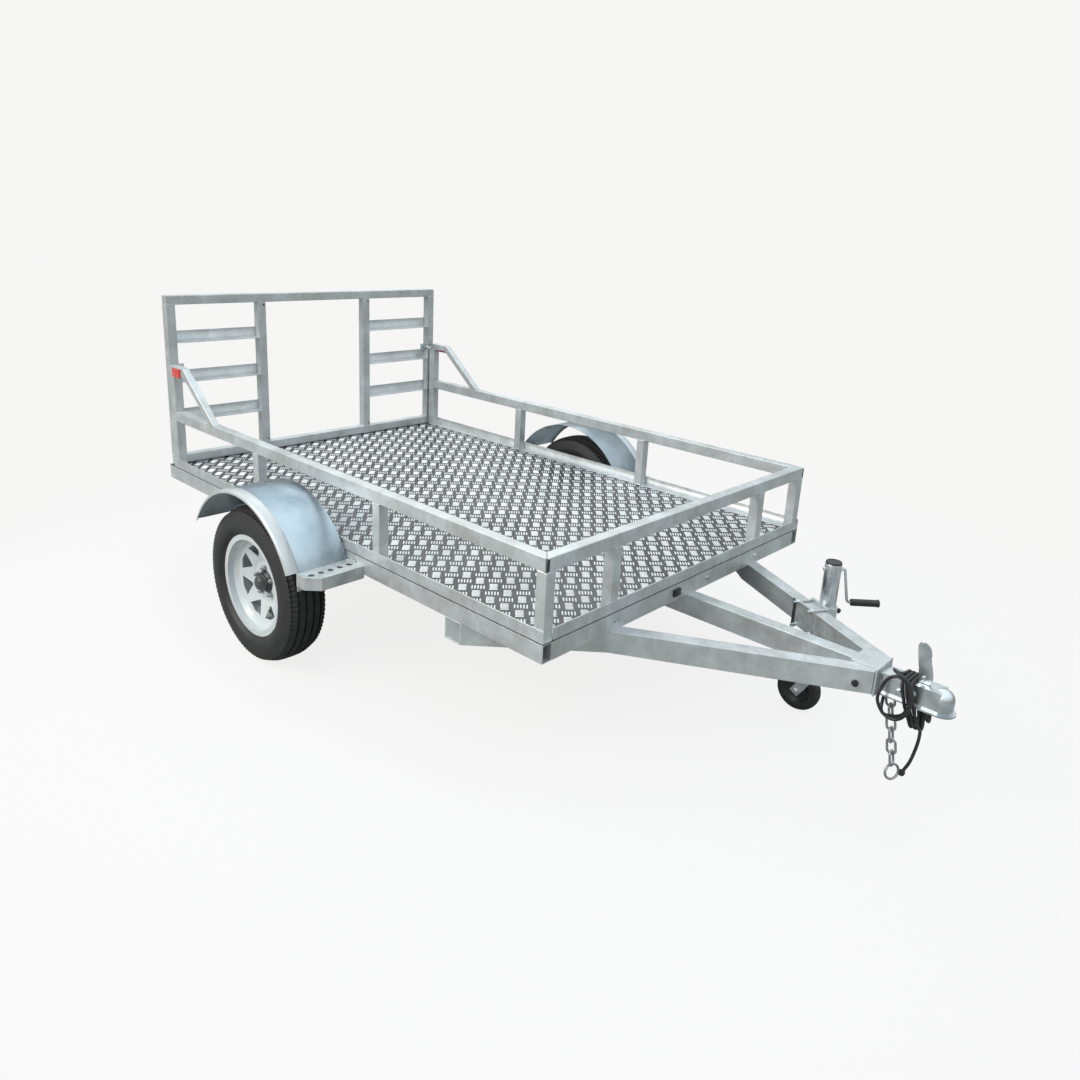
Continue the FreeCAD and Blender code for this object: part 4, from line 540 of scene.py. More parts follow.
class TRAILER_OT_stage(bpy.types.Operator):
    """Set up the floor, the soft light and the camera"""

    bl_idname = "trailer.stage"
    bl_label = "Studio"

    def execute(self, context):
        scene = context.scene
        scene.view_settings.view_transform = "Standard"
        settings = scene.trailer_stage
        self.camera(scene)
        self.world(scene, settings)
        self.floor(scene, settings)
        self.lamps(scene, settings)
        return {"FINISHED"}

    def camera(self, scene):
        """The photo's view, fitted to the corners of the frame."""
        data = bpy.data.cameras.new("Camera")
        data.sensor_fit = "HORIZONTAL"
        data.sensor_width = 36.0
        data.lens = 28.73
        data.shift_x, data.shift_y = -0.0042, -0.0669
        data.clip_end = 200.0
        place = Vector((2.222, -2.438, 1.647))
        yaw, dip, roll = math.radians(132.12), math.radians(15.85), math.radians(-3.06)
        ahead = Vector((math.cos(dip) * math.cos(yaw), math.cos(dip) * math.sin(yaw), -math.sin(dip)))
        right = ahead.cross(Vector((0, 0, 1))).normalized()
        down = ahead.cross(right)
        tilted_right = right * math.cos(roll) + down * math.sin(roll)
        tilted_down = -right * math.sin(roll) + down * math.cos(roll)
        item = bpy.data.objects.new("Camera", data)
        turn = Matrix((tilted_right, -tilted_down, -ahead)).transposed().to_4x4()
        item.matrix_world = Matrix.Translation(place) @ turn
        scene.collection.objects.link(item)
        scene.camera = item

    def world(self, scene, settings):
        world = bpy.data.worlds.new("Studio")
        world.use_nodes = True
        scene.world = world
        tree = world.node_tree
        tree.nodes.clear()
        w = Wiring(tree)
        up = w.add("ShaderNodeSeparateXYZ", {0: w.add("ShaderNodeTexCoord").outputs["Generated"]}).outputs["Z"]
        lift = w.ramp(up, -0.05, 0.75)
        tone = w.mix(lift, (1.0, 0.99, 0.95, 1), (0.82, 0.94, 1.0, 1))
        strength = w.ramp(up, 0.0, 0.8, settings.horizon, settings.sky)
        soft = w.add("ShaderNodeBackground", {"Color": tone, "Strength": strength})
        plain = w.add("ShaderNodeBackground", {"Color": (*settings.floor, 1), "Strength": 1.0})
        seen = w.add("ShaderNodeLightPath").outputs["Is Camera Ray"]
        both = w.add("ShaderNodeMixShader", {0: seen, 1: soft.outputs[0], 2: plain.outputs[0]})
        w.add("ShaderNodeOutputWorld", {"Surface": both.outputs[0]})

    def floor(self, scene, settings):
        """Paper that stays white to the camera, with a soft shadow close to the trailer."""
        bm = bmesh.new()
        bmesh.ops.create_circle(bm, cap_ends=True, radius=60.0, segments=96)
        mesh = close_mesh("Floor", bm)
        material = bpy.data.materials.new("Floor Paper")
        material.use_nodes = True
        tree = material.node_tree
        tree.nodes.clear()
        w = Wiring(tree)
        place = w.add("ShaderNodeTexCoord").outputs["Object"]
        tone = (*settings.floor, 1)
        lit = w.add("ShaderNodeBsdfDiffuse", {"Color": tone})
        glow = w.add("ShaderNodeEmission", {"Color": tone, "Strength": 1.0})
        distance = w.add("ShaderNodeVectorMath", {0: place}, operation="LENGTH").outputs["Value"]
        near, far = 1.2, 3.4
        share = w.ramp(distance, near, far, 0.91, 1.0)
        seen = w.add("ShaderNodeMixShader", {0: share, 1: lit.outputs[0], 2: glow.outputs[0]})
        grey = w.mix(w.noise(place, 0.8), (0.30, 0.30, 0.29, 1), (0.36, 0.36, 0.35, 1))
        bounce = w.add("ShaderNodeBsdfDiffuse", {"Color": grey})
        ray = w.add("ShaderNodeLightPath").outputs["Is Camera Ray"]
        both = w.add("ShaderNodeMixShader", {0: ray, 1: bounce.outputs[0], 2: seen.outputs[0]})
        w.add("ShaderNodeOutputMaterial", {"Surface": both.outputs[0]})
        mesh.materials.append(material)
        item = bpy.data.objects.new("Floor", mesh)
        scene.collection.objects.link(item)
        item.location.z = -0.0005

    def lamps(self, scene, settings):
        """A large key lamp, a weak fill and a lamp behind, each with its share of the key's power."""
        for name, place, size, share in (("Key", (-1.4, -5.0, 3.8), 3.0, 1.0),
                                         ("Fill", (5.5, 2.5, 3.5), 4.0, 0.05),
                                         ("Back", (-4.0, 3.5, 4.5), 4.0, 0.2)):
            data = bpy.data.lights.new(name, "AREA")
            data.energy = settings.key * share
            data.color = (1.0, 0.95, 0.87)
            data.size = size
            item = bpy.data.objects.new(name, data)
            item.location = place
            item.rotation_euler = (Vector((0, 0, 0.4)) - Vector(place)).to_track_quat("-Z", "Y").to_euler()
            scene.collection.objects.link(item)


# Cable

# Cable's end from the boot to the chain's ring, in millimetres from the chassis's rear face.
TAIL_ROUTE = ((3180, 0, 270), (3182, 0, 246), (3179, 0, 211), (3173, 1, 175), (3167, 2, 148), (3158, 5, 125),
              (3152, 11, 110), (3148, 18, 100))
NECK_ROOF = 416.0
COIL_LEAN = math.tan(math.radians(16))


def spline_piece(name, points, radius, material):
    """A cable as one smooth spline through the trailer's frame."""
    data = bpy.data.curves.new(name, "CURVE")
    data.dimensions = "3D"
    spline = data.splines.new("NURBS")
    spline.points.add(len(points) - 1)
    for slot, point in zip(spline.points, points):
        slot.co = (*point, 1.0)
    spline.order_u = 3
    spline.use_endpoint_u = True
    data.resolution_u = 8
    data.bevel_depth = radius
    data.bevel_resolution = 4
    data.use_fill_caps = True
    data.materials.append(finish(material))
    piece = bpy.data.objects.new(name, data)
    bpy.context.scene.collection.objects.link(piece)
    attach(piece, "root")
    return piece


class TRAILER_OT_cable(bpy.types.Operator):
    """Lay the cable round the coupling's neck and down to the chain"""

    bl_idname = "trailer.cable"
    bl_label = "Cable"

    def execute(self, context):
        settings = context.scene.trailer_cable
        route = self.coil(settings)
        coil = spline_piece("cable_coiled", route, settings.diameter / 2, "Cable Jacket")
        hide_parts("cable_coil")
        length = self.measure(coil)
        route = [from_rear(*place) for place in TAIL_ROUTE]
        tail = spline_piece("cable_end", route, settings.diameter / 2, "Cable Jacket")
        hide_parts("cable_tail")
        boot = self.boot()
        knot = self.knot()
        self.measure(tail)
        return {"FINISHED"}

    def measure(self, piece):
        """The length of the spline itself."""
        plain = piece.copy()
        plain.data = piece.data.copy()
        plain.data.bevel_depth = 0.0
        line = bpy.data.meshes.new_from_object(plain)
        points = [vert.co for vert in line.vertices]
        length = sum((after - before).length for before, after in zip(points, points[1:]))
        data = plain.data
        bpy.data.objects.remove(plain)
        bpy.data.curves.remove(data)
        bpy.data.meshes.remove(line)
        return round(length, 3)

    def coil(self, settings):
        """Out under the tongue, two loose loops on the right, the turns round the neck, and back in."""
        first_turn, middle, flare_from, flare = 3106.0, 3112, 392, 0.12
        steps, phase = 14, 0.6
        step = settings.spacing * 1000
        points = [(3066, -13, 362), (3066, -13, 342), (3065, -17, 318), (3069, -31, 299), (3084, -45, 292)]
        for tall, half, out, level, first, last in ((64, 43, 59.3, 371, 4, 14), (73, 50, 70, 375, 0, 10)):
            for index in range(first, last):
                turn = math.pi + 2 * math.pi * (index + phase) / steps
                z = level + tall * math.sin(turn)
                points.append((middle + half * math.cos(turn), -out + max(0.0, z - flare_from) * flare, z))
        points += [(3104, -60, 448), (3092, -48, 448), (3089, -28, 436), (3098, -8, 422)]
        side, top, foot, foot_level = 47.5, 420.5, 28, 297.5
        section = [(-side, 345), (-side, 386), (-side, top - 1), (-6.5, top + 1), (6.5, top + 1),
                   (side, top - 1), (side, 386), (side, 345)]
        for degrees in (0, 45, 90, 135, 180):
            turn = math.radians(degrees)
            section.append((foot * math.cos(turn), foot_level - foot * math.sin(turn)))
        count = len(section)
        ripple = random.Random(5)
        most_slack, tight_above, slack_below, neck_half = 2.2, 400, 300, 48
        for place in range(4, count * settings.turns + 6):
            y, z = section[place % count]
            slack = ripple.uniform(0.0, most_slack) if z < tight_above else 0.0
            x = first_turn + step * place / count + (NECK_ROOF - z) * COIL_LEAN
            points.append((x, y * (1 + slack / neck_half), z - (slack if z < slack_below else 0.0)))
        points += [(3159, 48, 384), (3169, 48, 352), (3179, 46.5, 326), (3186, 46, 304), (3189, 41, 290),
                   (3190, 32.7, 285), (3189, 24.5, 290), (3186, 19.5, 304), (3182, 19.5, 330),
                   (3180, 19.5, 365), (3179, 19.5, 404)]
        return [from_rear(*place) for place in points]

    def boot(self):
        """Moulded boot with ribs, tapering down to the cable."""
        bm = bmesh.new()
        rings = [(0, 0), (0, 0.0112), (0.002, 0.012), (0.058, 0.012), (0.060, 0.0105)]
        for rib in range(5):
            base = 0.062 + rib * 0.008
            rings += [(base, 0.0105), (base + 0.0012, 0.0118), (base + 0.0048, 0.0118), (base + 0.006, 0.0102)]
        rings += [(0.104, 0.0105), (0.110, 0.0085), (0.126, 0.0062), (0.139, 0.0058), (0.140, 0.0)]
        add_turned(bm, from_rear(3180, 0, 410), (0, 0, -1), rings, 28)
        return add_piece("cable_boot", bm, "Black Plastic", "root", 35, ["cable_plug"])

    def knot(self):
        """Three wraps of the cable's end round the chain's ring."""
        wraps, steps = 3, 12
        reach, wire, rise = 0.0055, 0.0045, 0.0105
        core, core_length = 0.0065, 0.016
        bm = bmesh.new()
        middle = middle_of("cable_knot")
        last, before = from_rear(*TAIL_ROUTE[-1]), from_rear(*TAIL_ROUTE[-2])
        axis = (last - before).normalized()
        side = axis.orthogonal().normalized()
        other = axis.cross(side)
        start = last - axis * 0.001
        points = [start]
        for index in range(wraps * steps + 1):
            angle = 2 * math.pi * index / steps
            along = axis * (reach + rise * index / (wraps * steps))
            points.append(start + along + (side * math.cos(angle) + other * math.sin(angle)) * reach)
        add_swept(bm, points, wire)
        add_turned(bm, middle - axis * core_length / 2, axis,
                   [(0, 0), (0, core), (core_length, core), (core_length, 0)], 16)
        return add_piece("cable_knot_wraps", bm, "Cable Jacket", "root", 50, ["cable_knot"])


# Frame


class TRAILER_OT_frame(bpy.types.Operator):
    """Round the edges of the chassis, rails, posts and drawbar"""

    bl_idname = "trailer.frame"
    bl_label = "Frame and drawbar"

    def execute(self, context):
        for node, width in (("chassis_side_rails", 0.004), ("chassis_cross_members", 0.004),
                            ("top_rail_sides", 0.003), ("top_rail_front", 0.003), ("posts", 0.003),
                            ("rear_braces", 0.003), ("drawbar_beams", 0.005), ("drawbar_head", 0.0015),
                            ("edge_angles", 0.0012), ("gate_uprights", 0.003), ("gate_rails", 0.003),
                            ("gate_rungs", 0.0012), ("steps", 0.0015)):
            softened(node, "Galvanised Steel", width)
        softened("mudguard_brackets", "Galvanised Sheet", 0.0015)
        return {"FINISHED"}


class TRAILER_OT_deck(bpy.types.Operator):
    """Raise the bars of the chequer plate"""

    bl_idname = "trailer.deck"
    bl_label = "Chequer plate"

    def execute(self, context):
        settings = context.scene.trailer_deck
        # The plate between the bars is near-black: painted shade between the raised bars.
        dress("deck_plate", "Tread Ground Painted Shade")
        low, high = (Vector(corner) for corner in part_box("deck_plate"))
        margin, rear_margin, sunk = 0.042, 0.02, 0.0004
        first_x, first_y = 0.0103, 0.0175
        length, width = settings.bar_length / 2, settings.bar_width / 2
        outline = [(-length, 0), (-length * 0.72, -width), (length * 0.72, -width), (length, 0),
                   (length * 0.72, width), (-length * 0.72, width)]
        crown = [(x * 0.84, y * 0.62) for x, y in outline]
        corners = len(outline)
        verts = []
        faces = []
        columns = int((high.x - low.x) / settings.pitch_x * 2) + 2
        rows = int((high.y - low.y) / settings.pitch_y * 2) + 2
        for column, row in product(range(-1, columns), range(-1, rows)):
            if (column + row) % 2:
                continue
            middle = Vector((low.x + first_x + settings.pitch_x * column / 2,
                             low.y + first_y + settings.pitch_y * row / 2))
            turn = math.radians(45 if column % 2 == 0 else 135)
            ahead = Vector((math.cos(turn), math.sin(turn)))
            across = Vector((-ahead.y, ahead.x))
            for bar in range(settings.bars):
                centre = middle + across * (bar - (settings.bars - 1) / 2) * settings.bar_pitch
                if not (low.x + rear_margin < centre.x < high.x - margin
                        and low.y + margin < centre.y < high.y - margin):
                    continue
                first = len(verts)
                for level, ring in ((high.z - sunk, outline), (high.z + settings.bar_height, crown)):
                    verts += [(*(centre + ahead * x + across * y), level) for x, y in ring]
                for index in range(corners):
                    after = (index + 1) % corners
                    faces.append((first + index, first + after,
                                  first + corners + after, first + corners + index))
                faces.append(tuple(first + corners + index for index in range(corners)))
        mesh = bpy.data.meshes.new("tread_bars")
        mesh.from_pydata(verts, [], faces)
        # The bars are brighter than the rest of the zinc: painted highlight on their tops.
        add_piece("tread_bars", mesh, "Tread Bars", "root")
        return {"FINISHED"}


class TRAILER_OT_mudguards(bpy.types.Operator):
    """Roll the mudguards with their beaded outer edge"""

    bl_idname = "trailer.mudguards"
    bl_label = "Mudguards"

    def execute(self, context):
        bm = bmesh.new()
        for side in SIDES:
            self.guard(bm, side)
        materials = ["Galvanised Sheet", "Rolled Bead Highlight"]
        add_piece("mudguard_sheets", bm, materials, "root", 40, ["mudguards"])
        return {"FINISHED"}

    def guard(self, bm, side):
        """A sheet bent over the tyre: its section, counted in and down from its outer top edge, swept round."""
        inner, outer, radius = 0.778, 1.0158, 0.3718
        start, end, steps = math.radians(25.7), math.radians(150), 56
        bead = range(3, 10)
        section = [(outer - inner, 0), (0.050, 0), (0.046, 0.0025), (0.042, 0), (0.012, 0), (0.005, 0.002),
                   (0.001, 0.006), (0, 0.013), (0.002, 0.0138), (0.0035, 0.012), (0.005, 0.006), (0.010, 0.003),
                   (0.046, 0.004), (outer - inner, 0.002)]
        rings = []
        for step in range(steps + 1):
            angle = start + (end - start) * step / steps
            rings.append([bm.verts.new((AXLE.x + (radius - drop) * math.cos(angle), side * (outer - inward),
                                        AXLE.z + (radius - drop) * math.sin(angle)))
                          for inward, drop in section])
        for first, second in zip(rings, rings[1:]):
            for index in range(len(section)):
                after = (index + 1) % len(section)
                face = bm.faces.new([first[index], first[after], second[after], second[index]])
                # The bead's faces take the lighter finish: painted highlight on the rolled lip.
                face.material_index = 1 if index in bead else 0
        bm.faces.new(rings[0])
        bm.faces.new(rings[-1])


# Wheels

# Middles of the tread's long grooves, across the tyre, and its steps from one cross cut to the next.
GROOVES = (-0.0435, -0.0150, 0.0150, 0.0435)
CUT_EVERY = 4


class TRAILER_OT_wheels(bpy.types.Operator):
    """Cut the tread, and fit rims, hubs and nuts"""

    bl_idname = "trailer.wheels"
    bl_label = "Wheels"

    def execute(self, context):
        settings = context.scene.trailer_tyre
        for label, side in (("right", -1), ("left", 1)):
            body = f"wheel_{label}"
            middle = Vector((AXLE.x, side * TRACK_HALF, AXLE.z))
            self.tyre(settings, label, body, middle)
            dress(f"rim_{label}", "White Rim Paint")
            dress(f"hub_{label}", "Black Axle Paint")
            self.fittings(label, body, middle, Vector((0, side, 0)))
        return {"FINISHED"}

    def cut(self, settings, across, size, step):
        """How deep the tread is cut at a point of its section, at one step round the tyre."""
        far = abs(across)
        shoulder, shoulder_low, shoulder_high, rib, inner_rib = 0.0525, 0.262, 0.275, 0.0475, 0.035
        on_cut = step % CUT_EVERY == 0
        if any(abs(across - centre) < settings.groove_width / 2 - 0.0005 for centre in GROOVES):
            return settings.groove_depth
        if far >= shoulder and size > shoulder_low and on_cut:
            return 0.0045 if size > shoulder_high else 0.002
        if rib <= far < shoulder and on_cut:
            return 0.0025
        if far < inner_rib and (step + (CUT_EVERY // 2 if across > 0 else 0)) % CUT_EVERY == 0:
            return 0.0028
        return 0.0

    def tyre(self, settings, label, body, middle):
        """A tyre with four long grooves, cross cuts on its shoulders and raised rings on its walls."""
        tread_half, shoulder_drop, crown_drop = 0.064, 0.0135, 0.0012
        wall = [(0.062, 0.1778), (0.0622, 0.188), (0.0655, 0.1965), (0.0705, 0.2015), (0.0748, 0.2058),
                (0.0762, 0.2068), (0.0780, 0.2085), (0.0803, 0.2155), (0.0814, 0.218), (0.0825, 0.226),
                (0.0825, 0.236), (0.0818, 0.2445), (0.0806, 0.247), (0.0788, 0.257), (0.0765, 0.263),
                (0.0742, 0.270), (0.0712, 0.2795), (0.0695, 0.2835)]
        ribs = {0.0} | {side * far for side in SIDES for far in (0.064, 0.056, 0.0478, 0.0300, 0.0225)}
        for centre in GROOVES:
            for side, off in product(SIDES, (-0.0010, 0.0004)):
                ribs.add(centre + side * (settings.groove_width / 2 + off))
        crown = [(across, TYRE_RADIUS - shoulder_drop * (abs(across) / tread_half) ** 4
                  - crown_drop * (across / tread_half) ** 2) for across in sorted(ribs)]
        profile = [(-across, size) for across, size in wall] + crown + wall[::-1]
        count, width = settings.sipes * CUT_EVERY, len(profile)
        bm = bmesh.new()
        rings = []
        for step in range(count):
            angle = 2 * math.pi * step / count - math.pi / 2
            ring = []
            for across, size in profile:
                reach = size - self.cut(settings, across, size, step)
                ring.append(bm.verts.new((middle.x + reach * math.cos(angle), middle.y + across,
                                          middle.z + reach * math.sin(angle))))
            rings.append(ring)
        for ring, other in zip(rings, rings[1:] + rings[:1]):
            for step in range(width):
                after = (step + 1) % width
                bm.faces.new([ring[step], ring[after], other[after], other[step]])
        add_piece(f"road_tyre_{label}", bm, "Tyre Rubber", body, 38, [f"tyre_{label}"])

    def fittings(self, label, body, middle, out):
        """Wheel nuts, grease cap and tyre valve."""
        nuts, nut_circle, valve_angle, valve_circle = 5, 0.0545, 0.39, 0.150
        bm = bmesh.new()
        for number in range(nuts):
            angle = 2 * math.pi * (number + 0.3) / nuts
            spot = middle + out * 0.0022 + Vector((math.cos(angle), 0, math.sin(angle))) * nut_circle
            add_turned(bm, spot, out, [(-0.002, 0), (-0.002, 0.0112), (0.003, 0.0098), (0.003, 0)], 20)
            add_turned(bm, spot, out, [(0.002, 0), (0.002, 0.0098), (0.0125, 0.0098), (0.0150, 0.0078),
                                       (0.0150, 0)], 6, angle)
            add_stud(bm, spot + out * 0.0142, out, 0.0056, 0.006)
        add_piece(f"wheel_nuts_{label}", bm, "Chain Zinc", body, 35)
        bm = bmesh.new()
        base = middle + out * 0.0140
        add_turned(bm, base, out, [(0.0, 0), (0.0, 0.0292), (0.003, 0.0292), (0.0045, 0.0262), (0.022, 0.0254),
                                   (0.0242, 0.0235), (0.0262, 0.019), (0.0264, 0.0)], 40)
        add_turned(bm, base, out, [(0.0262, 0.0), (0.0262, 0.009), (0.0285, 0.008), (0.0287, 0.0)])
        add_piece(f"grease_cap_{label}", bm, "Hub Cap Grey", body, 35)
        bm = bmesh.new()
        spot = middle + out * 0.012 + Vector((math.cos(valve_angle), 0, math.sin(valve_angle))) * valve_circle
        add_turned(bm, spot, out, [(-0.004, 0), (-0.004, 0.0078), (0.004, 0.0062), (0.012, 0.0046),
                                   (0.016, 0.0042), (0.016, 0.0)], 16)
        add_piece(f"tyre_valve_{label}", bm, "Black Plastic", body, 40)


# Coupling and chain

# Cosine and sine of the angle between the drawbar's outer beams and the trailer's middle line.
BEAM_COS, BEAM_SIN = 0.8697, 0.4935


class TRAILER_OT_coupling(bpy.types.Operator):
    """Press the coupling, its lever and bolts, and hang the chain"""

    bl_idname = "trailer.coupling"
    bl_label = "Coupling and chain"

    def execute(self, context):
        softened("coupling_body", "Bright Zinc", 0.0012)
        self.lever()
        self.bolts()
        self.chain()
        return {"FINISHED"}

    def lever(self):
        """A flat plate with a rounded head, and a smaller plate behind it."""
        pivot_x, pivot_z = 3165.0, 416.5
        outline = [(-13, 0), (17, 0), (23, 8), (24, 22), (21, 40), (16, 58), (11, 74), (7.5, 88), (8.5, 98),
                   (6, 107), (1, 116), (-7, 123.5), (-18, 126.5), (-26.5, 123), (-31, 114), (-31, 102),
                   (-28.5, 86), (-24, 64), (-19, 40), (-16, 18)]
        bm = bmesh.new()
        for low, high, scale, shift in ((-6.0, -1.0, 1.0, 0.0), (-1.0, 6.0, 0.90, 1.0)):
            front, back = ([bm.verts.new(from_rear(pivot_x + x * scale + shift, y, pivot_z + z * scale))
                            for x, z in outline] for y in (low, high))
            for index in range(len(outline)):
                after = (index + 1) % len(outline)
                bm.faces.new([front[index], front[after], back[after], back[index]])
            bm.faces.new(front[::-1])
            bm.faces.new(back)
        piece = add_piece("lever_plates", bm, "Bright Zinc", "root", 40, ["coupling_lever"])
        soft = piece.modifiers.new("Rounded", "BEVEL")
        soft.width = 0.0012
        soft.segments = 2
        soft.angle_limit = math.radians(50)

    def bolts(self):
        """Bolts through the channel and the lever, and the black pins through the drawbar's outer faces."""
        bm = bmesh.new()
        for x, z in ((3110, 376), (3149, 386)):
            for side in SIDES:
                add_bolt(bm, from_rear(x, side * 32, z), (0, side, 0), 0.0085)
        add_bolt(bm, from_rear(3165, -6.2, 432), (0, -1, 0), 0.007)
        add_stud(bm, from_rear(3165, 6.0, 432), (0, 1, 0), 0.004, 0.008)
        add_piece("coupling_bolts", bm, "Bright Zinc", "root", 35)
        bm = bmesh.new()
        for side in SIDES:
            outward = Vector((BEAM_SIN, side * BEAM_COS, 0))
            add_bolt(bm, from_rear(3001.5, side * 87.5, 379), outward, 0.0095, 0.006)
        add_piece("drawbar_pins", bm, "Black Plastic", "root", 35)

    def chain(self):
        """Round-wire links, each turned a quarter from the last, and the ring."""
        lean = math.radians(10)
        links, link_length, link_width, link_pitch, wire = 6, 0.055, 0.034, 0.038, 0.004
        ring_radius, ring_turn, ring_down = 0.024, math.radians(60), 0.257
        hole = from_rear(3078, 0, 349.6)
        down = Vector((math.sin(lean), 0, -math.cos(lean)))
        along_x = Vector((math.cos(lean), 0, math.sin(lean)))
        half = link_length / 2 - wire
        radius = link_width / 2 - wire
        bm = bmesh.new()
        for number in range(links):
            middle = hole + down * (half + link_pitch * number)
            side = along_x if number % 2 == 0 else Vector((0, 1, 0))
            points = []
            for index in range(24):
                angle = 2 * math.pi * index / 24
                along = (half - radius) * (1 if math.sin(angle) >= 0 else -1) + radius * math.sin(angle)
                points.append(middle + down * along + side * (radius * math.cos(angle)))
            add_swept(bm, points, wire * 0.96, closed=True)
        end = hole + down * ring_down
        across = Vector((math.cos(ring_turn) * math.cos(lean), math.sin(ring_turn),
                         math.cos(ring_turn) * math.sin(lean)))
        points = []
        for index in range(32):
            angle = 2 * math.pi * index / 32
            points.append(end + down * (ring_radius * math.cos(angle))
                          + across * (ring_radius * math.sin(angle)))
        add_swept(bm, points, wire * 0.97, 12, True)
        add_piece("chain_links", bm, "Chain Zinc", "root", 60, ["safety_chain"])


# Jockey wheel


def mirrored(half):
    """Half of a turned profile, followed by its mirror image."""
    return half + [(-along, radius) for along, radius in half[::-1]]


